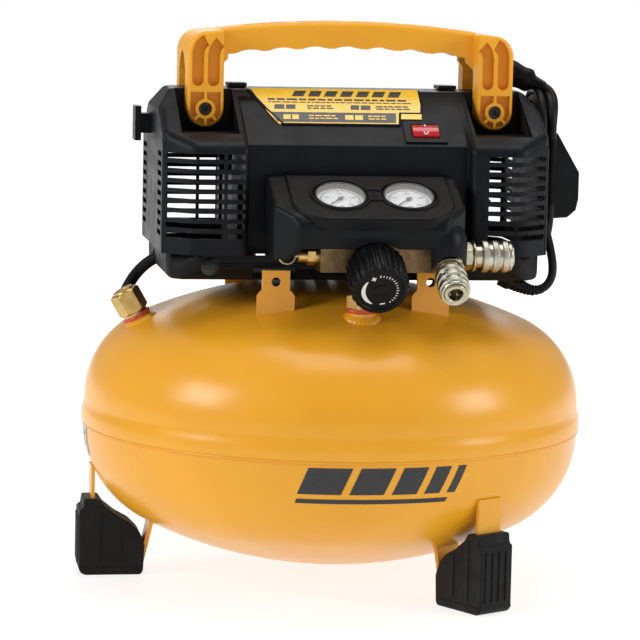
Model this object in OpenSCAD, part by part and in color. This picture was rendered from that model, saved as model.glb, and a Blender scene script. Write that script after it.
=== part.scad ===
// Pancake air compressor: a flat round tank on three rubber feet, an oil-free belt-driven pump and motor
// under a two-part plastic shroud, a control console with two gauges, a regulator and two quick couplers,
// a carrying handle and a power cord wound on the right end.
// Millimetres, +Z up, -Y is the control side, +X is the cord side.
// Origin: on the floor, on the axis of the tank.

/* [Tank] */
// outside diameter of the tank shells
tank_d = 406; // [380:1:430]
// steel thickness of the tank shells
tank_wall = 2; // [1.5:0.1:3]
// height of the welded seam above the floor
seam_z = 133; // [125:1:145]
// straight band of each shell beside the seam
flange_h = 12; // [8:1:20]
// height of the upper crown above its straight band
upper_crown = 99; // [90:1:110]
// corner radius of the upper shell
upper_knuckle = 72; // [55:1:85]
// depth of the lower crown below its straight band
lower_crown = 110; // [95:1:114]
// corner radius of the lower shell
lower_knuckle = 80; // [60:1:95]
// radial thickness of the proud lip at the seam
lip_t = 2.2; // [1:0.1:4]

/* [Feet] */
// width of the sheet strap inside each boot
strap_w = 23; // [18:1:28]
// thickness of the strap
strap_t = 3; // [2:0.5:4]
// width of the rubber boots
boot_w = 33; // [30:1:40]
// outer radius of the boots from the tank axis
boot_r = 208; // [200:1:214]

/* [Shroud] */
// half length of the shroud
shroud_x = 156; // [148:1:162]
// sideways offset of the shroud and handle from the tank axis
shroud_dx = 5; // [0:0.5:8]
// half depth of the two end modules
module_y = 96; // [90:1:105]
// half depth of the recessed middle
middle_y = 78; // [70:1:85]
// height of the top ridge above the floor
ridge_z = 400; // [390:1:410]
// height of the front edge of the sloped top
eave_z = 357; // [350:1:365]
// joint between the shroud and the base pan
pan_z = 271; // [265:1:280]
// wall thickness of the mouldings
wall = 3; // [2:0.5:4]
// number of louvre slots in a column
louvres = 9; // [5:1:10]
// spacing of the louvre slots
louvre_pitch = 7.8; // [6:0.1:9]
// height of one louvre slot
louvre_h = 4.2; // [3:0.1:6]

/* [Handle] */
// half distance between the handle bolts
bolt_x = 118; // [110:1:124]
// width of a handle leg
leg_w = 29.5; // [26:0.5:36]
// half depth over the handle legs
leg_y = 41; // [36:1:46]
// height of the handle bolts
bolt_z = 383; // [378:1:388]
// height of the top of the grip
grip_z = 454; // [448:1:460]
// depth of the grip bar
grip_d = 40; // [34:1:46]

/* [Console] */
// tilt of the gauge panel from level
panel_tilt = 24; // [15:1:35]
// distance between the gauges
gauge_gap = 54; // [48:1:60]
// outside radius of a gauge bezel
gauge_r = 21.6; // [18:0.1:25]
// downward angle of the regulator and the front coupler
port_tilt = 30; // [20:1:40]
// outside radius of the regulator knob
knob_r = 22; // [18:0.5:26]
// length of the regulator knob
knob_l = 33; // [26:1:40]
// outside radius of the coupler sleeves
sleeve_r = 12.5; // [11:0.1:15]
// bore radius of the quick couplers
coupler_bore = 5.6; // [5:0.1:7]
// travel of the coupler sleeves
sleeve_travel = 5; // [3:0.5:8]

/* [Drive] */
// height of the crank axis
crank_z = 302; // [298:1:306]
// eccentricity of the crank pin
crank_e = 7; // [5:0.5:9]
// bore radius of the pump cylinder
bore_r = 24; // [20:0.5:28]
// pitch radius of the driven belt wheel
wheel_r = 41; // [36:1:44]
// pitch radius of the motor pinion
pinion_r = 11; // [9:0.5:14]

/* [Cord] */
// diameter of the power cord
cord_d = 7; // [6:0.1:9]
// height of the middle of the winding
coil_z = 336; // [325:1:345]
// overall height of the winding
coil_h = 137; // [120:1:150]
// outer radius of the winding at its ends
coil_r = 37; // [32:1:42]

/* [Hidden] */
$fn = 96;
eps = 0.01;
tank_r = tank_d / 2;
foot_angles = [180, 300, 60];
foot_names = ["left", "right", "rear"];
panel_y = -122;
panel_z = 319.5;
gauge_x = 11;
port_y = -119;
port_z = 274;
reg_x = 9;
front_coupler_x = 67;
side_coupler_x = 84;
manifold_z0 = 262;
manifold_z1 = 286;
check_x = -160;
check_tilt = 30;
motor_x = 68;
motor_y = 38;
motor_z = 312;
crank_y = -20;
rod_x = -60;
belt_x = -12;
coil_x0 = 162;
coil_x1 = 176.5;
coil_inner = coil_r - 14.5;

// radius of a crown that runs tangentially into its knuckle
function crown_radius(r, k, h) = ((r - k) * (r - k) + h * h - k * k) / (2 * (h - k));

// height above the seam of the outside of the upper shell at radius q
function upper_at(q) = q <= (tank_r - upper_knuckle) * 1.3
    ? flange_h + upper_crown - crown_radius(tank_r, upper_knuckle, upper_crown)
      + sqrt(pow(crown_radius(tank_r, upper_knuckle, upper_crown), 2) - q * q)
    : flange_h + sqrt(pow(upper_knuckle, 2) - pow(q - tank_r + upper_knuckle, 2));

// half section of one shell, seam on the X axis, crown up
module shell_outline(r, k, h) {
    c = crown_radius(r, k, h);
    cz = flange_h + h - c;
    a = atan2(r - k, flange_h - cz);
    intersection() {
        union() {
            intersection() {
                translate([0, cz]) circle(r = c, $fn = 360);
                polygon([[0, cz], [2 * c * sin(a), cz + 2 * c * cos(a)], [0, cz + 2 * c * cos(a)]]);
            }
            translate([r - k, flange_h]) circle(r = k, $fn = 180);
            translate([r - k, 0]) square([k, flange_h]);
        }
        square([r + 1, 400]);
    }
}

module shell_section(r, k, h) {
    difference() {
        shell_outline(r, k, h);
        shell_outline(r - tank_wall, k - tank_wall, h - tank_wall);
    }
}

module lower_solid() {
    translate([0, 0, seam_z]) rotate([180, 0, 0]) rotate_extrude($fn = 180)
        shell_outline(tank_r, lower_knuckle, lower_crown);
}

module upper_solid() {
    translate([0, 0, seam_z]) rotate_extrude($fn = 180) shell_outline(tank_r, upper_knuckle, upper_crown);
}

// places a child on the outside of the upper shell at radius q and angle a, standing upright
module on_top(q, a) {
    translate([q * cos(a), q * sin(a), seam_z + upper_at(q)]) children();
}

module check_place() {
    translate([check_x, -12, seam_z + upper_at(-check_x) - 2]) rotate([0, -check_tilt, 0]) children();
}

module drain_place() {
    rotate([0, 0, 112]) translate([172, 0, 56]) rotate([0, 130, 0]) children();
}

module tank_upper() {
    color("goldenrod") difference() {
        union() {
            translate([0, 0, seam_z]) rotate_extrude($fn = 180)
                shell_section(tank_r, upper_knuckle, upper_crown);
            difference() {
                translate([0, 0, seam_z - 8]) cylinder(r = tank_r + lip_t, h = 12);
                translate([0, 0, seam_z - 9]) cylinder(r = tank_r + 0.02, h = 9);
                translate([0, 0, seam_z - 9]) cylinder(r = tank_r - 1, h = 14);
            }
        }
        translate([3.6, -120, 200]) cylinder(r = 11.02, h = 60);
        check_place() translate([0, 0, -14]) cylinder(r = 11.02, h = 40);
    }
}

module tank_lower() {
    color("goldenrod") difference() {
        translate([0, 0, seam_z]) rotate([180, 0, 0]) rotate_extrude($fn = 180)
            shell_section(tank_r, lower_knuckle, lower_crown);
        drain_place() translate([0, 0, -20]) cylinder(r = 9.02, h = 40);
    }
}

module bung(r, h, bore) {
    difference() {
        translate([0, 0, -6]) cylinder(r = r, h = h + 6);
        translate([0, 0, -7]) cylinder(r = bore, h = h + 8);
    }
}

module tank_bungs() {
    color("goldenrod") {
        translate([3.6, -120, seam_z + upper_at(120)]) bung(11, 6, 8);
        check_place() bung(11, 6, 8);
        drain_place() bung(9, 4, 6);
    }
}

// side view of a strap: outer leg, foot and inner leg
module strap_outline() {
    difference() {
        polygon([[143, 58], [155, 7], [160, 4], [194, 4], [198, 8], [198, 100], [195, 100], [195, 7],
            [162, 7], [158, 9], [147, 58]]);
        translate([142, 90]) square([60, 20]);
    }
}

module strap(i) {
    color("goldenrod") difference() {
        rotate([0, 0, foot_angles[i]]) rotate([90, 0, 0])
            linear_extrude(height = strap_w, center = true) strap_outline();
        lower_solid();
    }
}

module boot(i) {
    color("#202020") difference() {
        rotate([0, 0, foot_angles[i]]) rotate([90, 0, 0]) linear_extrude(height = boot_w, center = true)
            polygon([[157, 0], [203, 0], [206.5, 2], [boot_r, 6], [boot_r, 54], [205, 55], [204, 63], [191, 63],
                [187, 57], [177, 49], [166, 43], [158, 35], [154, 24], [155, 3]]);
        rotate([0, 0, foot_angles[i]]) rotate([90, 0, 0])
            linear_extrude(height = strap_w + 0.1, center = true)
            polygon([[145, 70], [155, 4], [194, 3.9], [198.1, 8], [198.1, 70]]);
    }
}

module strap_left() { strap(0); }
module strap_right() { strap(1); }
module strap_rear() { strap(2); }
module boot_left() { boot(0); }
module boot_right() { boot(1); }
module boot_rear() { boot(2); }

// four upright sheet tabs welded to the top of the tank carry the base pan
module mount_tabs() {
    color("goldenrod") difference() {
        for (sx = [-1, 1]) for (sy = [-1, 1]) translate([sx * 62, sy * 98.5, 0]) rotate([90, 0, 0])
            linear_extrude(height = 3, center = true) difference() {
                union() {
                    translate([-15, 215]) square([30, 25]);
                    polygon([[-15, 240], [-12, 244], [12, 244], [15, 240]]);
                    translate([-11, 243]) square([22, 17]);
                }
                translate([0, 251]) circle(r = 3.7);
            }
        upper_solid();
    }
}

module isolators() {
    color("#1c1c1c") for (sx = [-1, 1]) for (sy = [-1, 1]) translate([sx * 62, sy * 87, 0]) difference() {
        translate([0, sy * 9.9, 251]) rotate([90 * sy, 0, 0]) cylinder(r = 8, h = 10);
        translate([0, sy * 20, 251]) rotate([90 * sy, 0, 0]) cylinder(r = 3.7, h = 30);
    }
}

module hex(af, h) {
    cylinder(r = af / sqrt(3), h = h, $fn = 6);
}

module check_valve() {
    color("darkkhaki") check_place() difference() {
        union() {
            translate([0, 0, -4]) cylinder(r = 8, h = 10);
            translate([0, 0, 6]) cylinder(r = 10, h = 3);
            translate([0, 0, 9]) hex(22, 19);
            translate([0, 0, 28]) cylinder(r = 8.5, h = 2);
        }
        translate([0, 0, -5]) cylinder(r = 4, h = 25);
        translate([0, 0, 19]) rotate([-90, 0, 0]) cylinder(r = 5, h = 20);
    }
}

// points of the delivery tube from the check valve up into the shroud
tube_points = [[-171, -1, 227.5], [-171, 4, 227.5], [-170, 12, 230], [-166, 20, 236], [-160, 24, 244],
    [-152, 24, 252], [-143, 22, 258], [-134, 20, 263], [-126, 18, 270], [-122, 16, 279], [-121, 15, 290]];

function unit(v) = v / norm(v);
function along(p, i) = unit(p[min(i + 1, len(p) - 1)] - p[max(i - 1, 0)]);
function side_of(t) = unit(cross(t, abs(t[2]) > 0.9 ? [1, 0, 0] : [0, 0, 1]));
function carried(s, t) = unit(s - t * (s * t));
function sides(p, i) = i == 0 ? side_of(along(p, 0)) : carried(sides(p, i - 1), along(p, i));

module tube(p, d, n) {
    s = [for (i = [0 : len(p) - 1]) sides(p, i)];
    rings = [for (i = [0 : len(p) - 1]) for (k = [0 : n - 1])
        p[i] + d / 2 * (cos(k * 360 / n) * s[i] + sin(k * 360 / n) * cross(along(p, i), s[i]))];
    walls = [for (i = [0 : len(p) - 2]) for (k = [0 : n - 1])
        [i * n + k, i * n + (k + 1) % n, (i + 1) * n + (k + 1) % n, (i + 1) * n + k]];
    caps = [[for (k = [n - 1 : -1 : 0]) k], [for (k = [0 : n - 1]) (len(p) - 1) * n + k]];
    polyhedron(points = rings, faces = concat([for (w = walls) [w[3], w[2], w[1], w[0]]],
        [[for (k = [0 : n - 1]) k]], [[for (k = [n - 1 : -1 : 0]) (len(p) - 1) * n + k]]));
}

module outlet_tube() {
    color("#2a2a2a") tube(tube_points, 9.4, 12);
}

module riser_pipe() {
    color("darkkhaki") translate([3.6, -120, 0]) difference() {
        union() {
            translate([0, 0, seam_z + upper_at(120) - 4]) cylinder(r = 8, h = 10);
            translate([0, 0, seam_z + upper_at(120) + 6]) hex(22, 12);
            translate([0, 0, seam_z + upper_at(120) + 18]) cylinder(r = 8, h = manifold_z0 - seam_z - upper_at(120) - 18);
        }
        translate([0, 0, 200]) cylinder(r = 4, h = 80);
    }
}

// frame of a port that leaves the manifold downwards at the front
module port(x) {
    translate([x, port_y - 12, port_z]) rotate([90 + port_tilt, 0, 0]) children();
}

// everything behind the front face of the manifold
module behind_manifold_face() {
    translate([-40, port_y - 12, 200]) cube([140, 60, 120]);
}

module manifold() {
    color("silver") difference() {
        union() {
            translate([-32, -131, manifold_z0]) cube([108, 24, manifold_z1 - manifold_z0]);
            port(reg_x) translate([0, 0, -10]) cylinder(r = 11, h = 12);
            port(front_coupler_x) translate([0, 0, -10]) cylinder(r = 9, h = 12);
        }
        translate([3.6, -120, manifold_z0 - 1]) cylinder(r = 4, h = 14);
        translate([-22, port_y, port_z]) rotate([0, 90, 0]) cylinder(r = 4, h = 100);
        port(front_coupler_x) translate([0, 0, -20]) cylinder(r = 4, h = 24);
    }
}

module pressure_switch() {
    color("#303030") difference() {
        union() {
            translate([34, -70, 284]) cube([44, 44, 52]);
            translate([56, -58, 267]) rotate([90, 0, 0]) cylinder(r = 3.8, h = 49);
            translate([56, -58, 267]) sphere(r = 6);
            translate([56, -58, 267]) cylinder(r = 3.8, h = 18);
        }
        translate([56, -57, 267]) rotate([90, 0, 0]) cylinder(r = 2, h = 60);
    }
}

module safety_place() {
    translate([-32, port_y, port_z]) rotate([0, -90, 0]) children();
}

module safety_valve() {
    color("darkkhaki") safety_place() difference() {
        union() {
            cylinder(r = 6, h = 3);
            translate([0, 0, 3]) hex(13, 6);
            translate([0, 0, 9]) cylinder(r = 5.2, h = 7);
        }
        translate([0, 0, 1]) cylinder(r = 1.95, h = 30);
    }
}

module safety_ring() {
    color("silver") safety_place() {
        translate([0, 0, 3]) cylinder(r = 1.9, h = 15.5);
        translate([0, 0, 24.6]) rotate([90, 0, 0]) rotate_extrude() translate([6.5, 0]) circle(r = 0.9, $fn = 24);
    }
}

module drain_body() {
    color("darkkhaki") drain_place() difference() {
        union() {
            translate([0, 0, -4]) cylinder(r = 6, h = 8);
            translate([0, 0, 4]) hex(16, 7);
            translate([0, 0, 11]) cylinder(r = 5.5, h = 4);
        }
        translate([0, 0, -5]) cylinder(r = 3, h = 30);
    }
}

module drain_knob() {
    color("darkkhaki") drain_place() {
        translate([0, 0, 5]) cylinder(r = 2.95, h = 12);
        translate([0, 0, 15.4]) cylinder(r = 4.5, h = 5);
        translate([-11, -1.5, 16]) cube([22, 3, 8]);
    }
}

module regulator_body() {
    color("#262626") difference() {
        port(reg_x) difference() {
            union() {
                translate([0, 0, 2]) cylinder(r = 17, h = 9);
                translate([0, 0, 10]) cylinder(r = 6, h = 22);
            }
            translate([0, 0, 2 - eps]) cylinder(r = 4, h = 6);
        }
        behind_manifold_face();
    }
}

module regulator_knob() {
    color("#181818") port(reg_x) difference() {
        union() {
            translate([0, 0, 12]) cylinder(r = knob_r, h = knob_l);
            for (k = [0 : 11]) rotate([0, 0, k * 30]) translate([knob_r - 2, -2.2, 14]) cube([3.4, 4.4, knob_l - 5]);
        }
        translate([0, 0, 11]) cylinder(r = 6.05, h = 22);
        translate([0, 0, 11]) difference() {
            cylinder(r = knob_r - 2.5, h = 18);
            cylinder(r = 9, h = 18);
        }
    }
}

// quick coupler: plain tail and ball cage along +Z with a bore open at the far end
module coupler_body() {
    difference() {
        union() {
            cylinder(r = 8, h = 6);
            translate([0, 0, 6]) hex(19, 8);
            translate([0, 0, 14]) cylinder(r = 9, h = 33);
            translate([0, 0, 14]) cylinder(r = sleeve_r - 0.5, h = 2);
        }
        translate([0, 0, 22]) cylinder(r = coupler_bore, h = 30);
        translate([0, 0, -1]) cylinder(r = 3, h = 30);
    }
}

module coupler_sleeve() {
    difference() {
        union() {
            translate([0, 0, 21.5]) cylinder(r = sleeve_r - 0.9, h = 24);
            for (z = [21.5, 29.5, 37.5]) translate([0, 0, z]) cylinder(r = sleeve_r, h = 5);
        }
        translate([0, 0, 21]) cylinder(r = 9.05, h = 30);
    }
}

module front_place() {
    port(front_coupler_x) translate([0, 0, 2]) children();
}

module side_place() {
    translate([76, port_y, port_z]) rotate([0, 90, 0]) children();
}

module coupler_front() {
    color("silver") difference() {
        front_place() coupler_body();
        behind_manifold_face();
    }
}

module sleeve_front() { color("gold") front_place() coupler_sleeve(); }
module coupler_side() { color("silver") side_place() coupler_body(); }
module sleeve_side() { color("gold") side_place() coupler_sleeve(); }

// gauge frame: +Z along the normal of the tilted panel
module gauge_place(s) {
    translate([gauge_x + s * gauge_gap / 2, panel_y, panel_z]) rotate([panel_tilt, 0, 0]) children();
}

module gauge_case() {
    difference() {
        union() {
            translate([0, 0, -16]) cylinder(r = 18.5, h = 16);
            translate([0, 0, -3]) cylinder(r = gauge_r, h = 6);
            translate([0, 0, -22]) cylinder(r = 5, h = 8);
        }
        translate([0, 0, -6]) cylinder(r = 17.5, h = 10);
        translate([0, 0, 1]) cylinder(r = 19.2, h = 3);
    }
}

module gauge_dial() {
    difference() {
        translate([0, 0, -6]) cylinder(r = 17.4, h = 1);
        translate([0, 0, -7]) cylinder(r = 0.7, h = 3);
    }
    translate([0, 0, -6]) cylinder(r = 0.7, h = 2.2);
}

module gauge_needle() {
    difference() {
        union() {
            translate([0, 0, -4.2]) cylinder(r = 2, h = 1.4);
            rotate([0, 0, 225]) translate([-4, -0.6, -4]) cube([18, 1.2, 0.6]);
        }
        translate([0, 0, -4.6]) cylinder(r = 0.75, h = 1);
    }
}

module gauge_lens() {
    translate([0, 0, 1]) cylinder(r = 19.15, h = 1.6);
}

module gauge_case_tank() { color("dimgray") gauge_place(-1) gauge_case(); }
module gauge_dial_tank() { color("white") gauge_place(-1) gauge_dial(); }
module gauge_needle_tank() { color("black") gauge_place(-1) gauge_needle(); }
module gauge_lens_tank() { color("lightblue") gauge_place(-1) gauge_lens(); }
module gauge_case_line() { color("dimgray") gauge_place(1) gauge_case(); }
module gauge_dial_line() { color("white") gauge_place(1) gauge_dial(); }
module gauge_needle_line() { color("black") gauge_place(1) gauge_needle(); }
module gauge_lens_line() { color("lightblue") gauge_place(1) gauge_lens(); }

// side view of the console, i = inset
module console_outline(i) {
    polygon([[-78.3, 332 - i], [-90, 334 - i], [-150 + i, 307.5 - i], [-154 + i, 299], [-149 + i, 275],
        [-142 + i, 270 + eps], [-108, 270 + eps], [-78.3, 288]]);
}

module console() {
    color("#232323") difference() {
        intersection() {
            translate([-70, 0, 0]) rotate([90, 0, 90]) linear_extrude(height = 152) console_outline(0);
            linear_extrude(height = 400) polygon([[-57, -155], [69, -155], [82, -140], [82, -78], [-70, -78],
                [-70, -140]]);
        }
        intersection() {
            translate([-70 + wall, 0, 0]) rotate([90, 0, 90]) linear_extrude(height = 152 - 2 * wall)
                polygon([[-78, 328], [-89, 330.5], [-146, 305.5], [-150, 298], [-145, 275], [-140, 269],
                    [-78, 269]]);
            linear_extrude(height = 400) polygon([[-55, -151], [67, -151], [79, -138], [79, -77], [-67, -77],
                [-67, -138]]);
        }
        for (s = [-1, 1]) gauge_place(s) translate([0, 0, -12]) cylinder(r = gauge_r + 0.1, h = 30);
        translate([reg_x, -170, 262]) rotate([-90, 0, 0]) cylinder(r = 30, h = 60);
        translate([front_coupler_x, -170, 262]) rotate([-90, 0, 0]) cylinder(r = 17, h = 60);
        translate([70, -134, 258]) cube([20, 30, 32]);
    }
}

// end view of the shroud: ridge in the middle, sloped top, upright front; y0 = half depth, i = inset
module shroud_end(y0, eave, i) {
    polygon([[0, ridge_z - i], [-22, ridge_z - 1.5 - i], [-y0 + i, eave - i], [-y0 + i, pan_z],
        [y0 - i, pan_z], [y0 - i, eave - i], [22, ridge_z - 1.5 - i]]);
}

module shroud_solid(i) {
    intersection() {
        union() {
            translate([-shroud_x, 0, 0]) rotate([90, 0, 90]) linear_extrude(height = 2 * shroud_x)
                shroud_end(middle_y, eave_z, i);
            for (sx = [-1, 1]) translate([sx * (88.5 + shroud_x) / 2, 0, 0]) rotate([90, 0, 90])
                linear_extrude(height = shroud_x - 88.5 - 2 * i, center = true) shroud_end(module_y, eave_z, i);
        }
        linear_extrude(height = 450) polygon([[-shroud_x + i, -76], [-132, -module_y + i], [132, -module_y + i],
            [shroud_x - i, -76], [shroud_x - i, 76], [132, module_y - i], [-132, module_y - i],
            [-shroud_x + i, 76]]);
        rotate([90, 0, 0]) linear_extrude(height = 220, center = true)
            polygon([[-shroud_x + i, pan_z], [-shroud_x + i, 384 - i], [-144, ridge_z + 1 - i],
                [144, ridge_z + 1 - i], [shroud_x - i, 384 - i], [shroud_x - i, pan_z]]);
    }
}

module louvre_column(w) {
    for (k = [0 : louvres - 1]) translate([0, -6, k * louvre_pitch]) cube([w, 12, louvre_h]);
}

// louvres that run from the front face of a module round its chamfered corner, x0 = inner end
module corner_louvres(x0) {
    for (k = [0 : louvres - 1]) translate([0, 0, 284 + k * louvre_pitch]) linear_extrude(height = louvre_h)
        polygon([[x0, -100], [133, -100], [155, -81], [149, -75], [129, -91], [x0, -91]]);
}

module shroud_cuts() {
    for (sy = [-1, 1]) mirror([0, sy > 0 ? 1 : 0, 0]) {
        mirror([1, 0, 0]) difference() {
            corner_louvres(92);
            translate([106, -110, 270]) cube([2.6, 30, 90]);
        }
        corner_louvres(103);
        for (sx = [-1, 1]) {
            translate([sx * shroud_x, -70, 284]) rotate([0, 0, 90]) louvre_column(26);
            translate([sx * bolt_x - 23, -90, 365.5]) cube([46, 70, 60]);
        }
    }
}

module shroud_shell() {
    translate([shroud_dx, 0, 0]) difference() {
        shroud_solid(0);
        difference() {
            translate([0, 0, -0.1]) shroud_solid(wall);
            for (sx = [-1, 1]) translate([sx * bolt_x - 26, -86, 362.5]) cube([52, 172, 60]);
        }
        shroud_cuts();
        for (sx = [-1, 1]) translate([sx * bolt_x, 0, bolt_z]) rotate([90, 0, 0])
            cylinder(r = 3.02, h = 80, center = true);
        translate([56, -64, 367.6]) rotate([37, 0, 0]) cube([30.2, 22.2, 40], center = true);
    }
}

module shroud_front() {
    color("#3a3a3c") intersection() {
        shroud_shell();
        translate([-200, -200, 200]) cube([400, 200, 250]);
    }
}

module shroud_rear() {
    color("#3a3a3c") intersection() {
        shroud_shell();
        translate([-200, 0, 200]) cube([400, 200, 250]);
    }
}

module pan_outline(i) {
    polygon([[-module_y + 3 + i, pan_z + (i > 0 ? 1 : 0)], [-module_y + 3 + i, 262], [-82 + i, 250 + i],
        [82 - i, 250 + i], [module_y - 3 - i, 262], [module_y - 3 - i, pan_z + (i > 0 ? 1 : 0)]]);
}

module base_pan() {
    color("#2c2c2e") difference() {
        intersection() {
            translate([-146, 0, 0]) rotate([90, 0, 90]) linear_extrude(height = 302) pan_outline(0);
            linear_extrude(height = 300) polygon([[-146, -72], [-126, -93], [136, -93], [156, -72],
                [156, 72], [136, 93], [-126, 93], [-146, 72]]);
        }
        intersection() {
            translate([-143, 0, 0]) rotate([90, 0, 90]) linear_extrude(height = 296) pan_outline(3);
            linear_extrude(height = 300) polygon([[-143, -71], [-124, -91], [134, -91], [153, -71],
                [153, 71], [134, 91], [-124, 91], [-143, 71]]);
        }
        for (sx = [-1, 1]) for (sy = [-1, 1]) translate([sx * 62 - 17, sy * 97 - 20, 240]) cube([34, 40, 24]);
        translate([-130, 8, 240]) cube([20, 20, 20]);
        translate([-152, 23, 256.5]) rotate([0, 90, 0]) cylinder(r = 8.5, h = 20);
        translate([-113, -100, 262]) rotate([-90, 0, 0]) cylinder(r = 7.5, h = 20);
        translate([56, -80, 267]) rotate([90, 0, 0]) cylinder(r = 4.2, h = 20);
        for (k = [0 : 4]) translate([-40 + 18 * k, -40, 240]) cube([8, 80, 20]);
    }
}

// badge plate on the front slope of the shroud
module label_plate() {
    color("gold") intersection() {
        rotate([90, 0, 0]) linear_extrude(height = 200, center = true)
            polygon([[-76, 401], [62, 401], [62, 384], [60.5, 377.5], [43, 377.5], [41, 368], [-52, 368],
                [-63, 381]]);
        rotate([90, 0, 90]) linear_extrude(height = 300, center = true)
            polygon([[-22.5, 398.14], [-57, 372.58], [-57, 373.7], [-22.5, 399.4]]);
    }
}

module ridge_pads() {
    color("#101010") {
        translate([-91, -10, ridge_z]) cube([15, 20, 3]);
        translate([82, -10, ridge_z]) cube([15, 20, 3]);
    }
}

// one leg outline in the XZ plane, round lower end
module leg_outline(i) {
    translate([0, bolt_z]) circle(r = leg_w / 2 - i);
    translate([-leg_w / 2 + i, bolt_z]) square([leg_w - 2 * i, 38 - i]);
}

// outline of the whole handle in the XZ plane above the legs, outer corners rounded
module bow_outline() {
    e = bolt_x + leg_w / 2;
    intersection() {
        translate([0, grip_z - 822]) circle(r = 822, $fn = 720);
        union() {
            translate([-e, 414]) square([2 * e, 14]);
            translate([-e + 17, 414]) square([2 * e - 34, 60]);
            for (sx = [-1, 1]) translate([sx * (e - 17), 428]) circle(r = 17);
        }
    }
}

// channel in the face of a leg: upright below, bending inwards at the top. x = place across the leg,
// r = bend radius of its middle line, a = angle of the bend
module leg_channel(x, z0, z1, w, r, a) {
    translate([x, z0]) circle(r = w / 2);
    translate([x - w / 2, z0]) square([w, z1 - z0]);
    translate([x - r, z1]) intersection() {
        difference() {
            circle(r = r + w / 2);
            circle(r = r - w / 2);
        }
        polygon([[0, 0], [3 * r, 0], [3 * r, 3 * r * tan(a / 2)], [3 * r * cos(a), 3 * r * sin(a)]]);
    }
}

module leg_cuts() {
    leg_channel(6.3, 406, 427, 9.6, 12, 62);
    leg_channel(-6.3, 406, 425, 9.6, 15, 48);
}

// pocket round the bolt boss at the foot of a leg
module foot_pocket() {
    difference() {
        intersection() {
            leg_outline(2.6);
            translate([-20, 360]) square([40, 36.5]);
        }
        translate([0, bolt_z]) circle(r = 8);
        translate([-1.1, bolt_z]) square([2.2, 20]);
        for (a = [225, 270, 315]) translate([0, bolt_z]) rotate([0, 0, a]) translate([0, -1.1]) square([20, 2.2]);
    }
}

module handle() {
    color("goldenrod") translate([shroud_dx, 0, 0]) difference() {
        union() {
            rotate([90, 0, 0]) intersection() {
                linear_extrude(height = 2 * leg_y, center = true) bow_outline();
                union() {
                    translate([-bolt_x, 414, -grip_d / 2]) cube([2 * bolt_x, 60, grip_d]);
                    for (sx = [-1, 1]) translate([sx * bolt_x - leg_w / 2, 414, -leg_y])
                        cube([leg_w, 60, 2 * leg_y]);
                }
            }
            for (sx = [-1, 1]) for (sy = [-1, 1]) translate([sx * bolt_x, sy * (leg_y - 10), 0])
                rotate([90, 0, 0]) linear_extrude(height = 20, center = true) leg_outline(0);
        }
        for (sx = [-1, 1]) {
            translate([sx * bolt_x - 30, -21, 360]) cube([60, 42, 47]);
            translate([sx * bolt_x, 0, 407]) rotate([0, 90, 0]) cylinder(r = 21, h = 60, center = true);
            for (sy = [-1, 1]) mirror([0, sy > 0 ? 1 : 0, 0]) translate([sx * bolt_x, -leg_y, 0]) {
                mirror([sx < 0 ? 1 : 0, 0, 0]) translate([0, 8, 0]) rotate([90, 0, 0])
                    linear_extrude(height = 10) leg_cuts();
                translate([0, 7, 0]) rotate([90, 0, 0]) linear_extrude(height = 10) foot_pocket();
                translate([0, 30, bolt_z]) rotate([90, 0, 0]) cylinder(r = 3.02, h = 60);
                translate([0, 10, bolt_z]) rotate([90, 0, 0]) cylinder(r = 5.4, h = 12);
            }
        }
        translate([0, 0, grip_z - 822 - 22]) rotate([90, 0, 0]) intersection() {
            cylinder(r = 822, h = grip_d + 2, center = true, $fn = 720);
            translate([-98, 0, -40]) cube([196, 900, 80]);
        }
        for (k = [-3 : 3]) translate([k * 26, 0, grip_z - 22 - 28.2 - k * k * 0.41]) rotate([90, 0, 0])
            cylinder(r = 30, h = grip_d + 2, center = true);
        for (k = [0 : 3]) translate([-85.5 + 45 * k, -13, 440]) cube([36, 12, 20]);
    }
}

module handle_bolts() {
    color("#101010") for (sx = [-1, 1]) for (sy = [-1, 1]) mirror([0, sy > 0 ? 1 : 0, 0])
        translate([shroud_dx + sx * bolt_x, -leg_y + 9.95, bolt_z]) rotate([90, 0, 0]) difference() {
            union() {
                cylinder(r = 5, h = 6);
                translate([0, 0, -26]) cylinder(r = 3, h = 27);
            }
            translate([0, 0, 3]) cylinder(r = 2.3, h = 4, $fn = 6);
        }
}

module switch_place() {
    translate([61, -64, 367.6]) rotate([37, 0, 0]) children();
}

module switch_bezel() {
    color("#151515") switch_place() difference() {
        union() {
            translate([-15, -11, -14]) cube([30, 22, 14]);
            translate([-17, -13, 0]) cube([34, 26, 1.4]);
        }
        translate([-11, -8.6, -11]) cube([22, 17.2, 15]);
    }
}

module rocker() {
    color("crimson") switch_place() intersection() {
        translate([0, 0, -7]) rotate([0, 90, 0]) cylinder(r = 11.5, h = 21, center = true);
        translate([-10.5, -6.8, -8.5]) cube([21, 13.6, 13]);
    }
}

module cord_hook() {
    color("#151515") {
        translate([-159, 14, 360]) cube([8, 16, 16]);
        translate([-164, 11, 354]) cube([5, 22, 28]);
    }
}

module cord_wrap() {
    color("#1a1a1a") {
        translate([161, -19.5, 304]) cube([16, 39, 64]);
        translate([0, 24, 0]) rotate([90, 0, 0]) linear_extrude(height = 48)
            polygon([[177, 296], [190, 297], [197, 303], [199, 312], [199, 334], [180, 366], [177, 366]]);
    }
}

module cord_gland() {
    color("#151515") translate([127, -62, 252]) rotate([0, 115, -8]) {
        cylinder(r = 7.5, h = 8);
        translate([0, 0, 8]) cylinder(r = 5.5, h = 10);
    }
}

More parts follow.
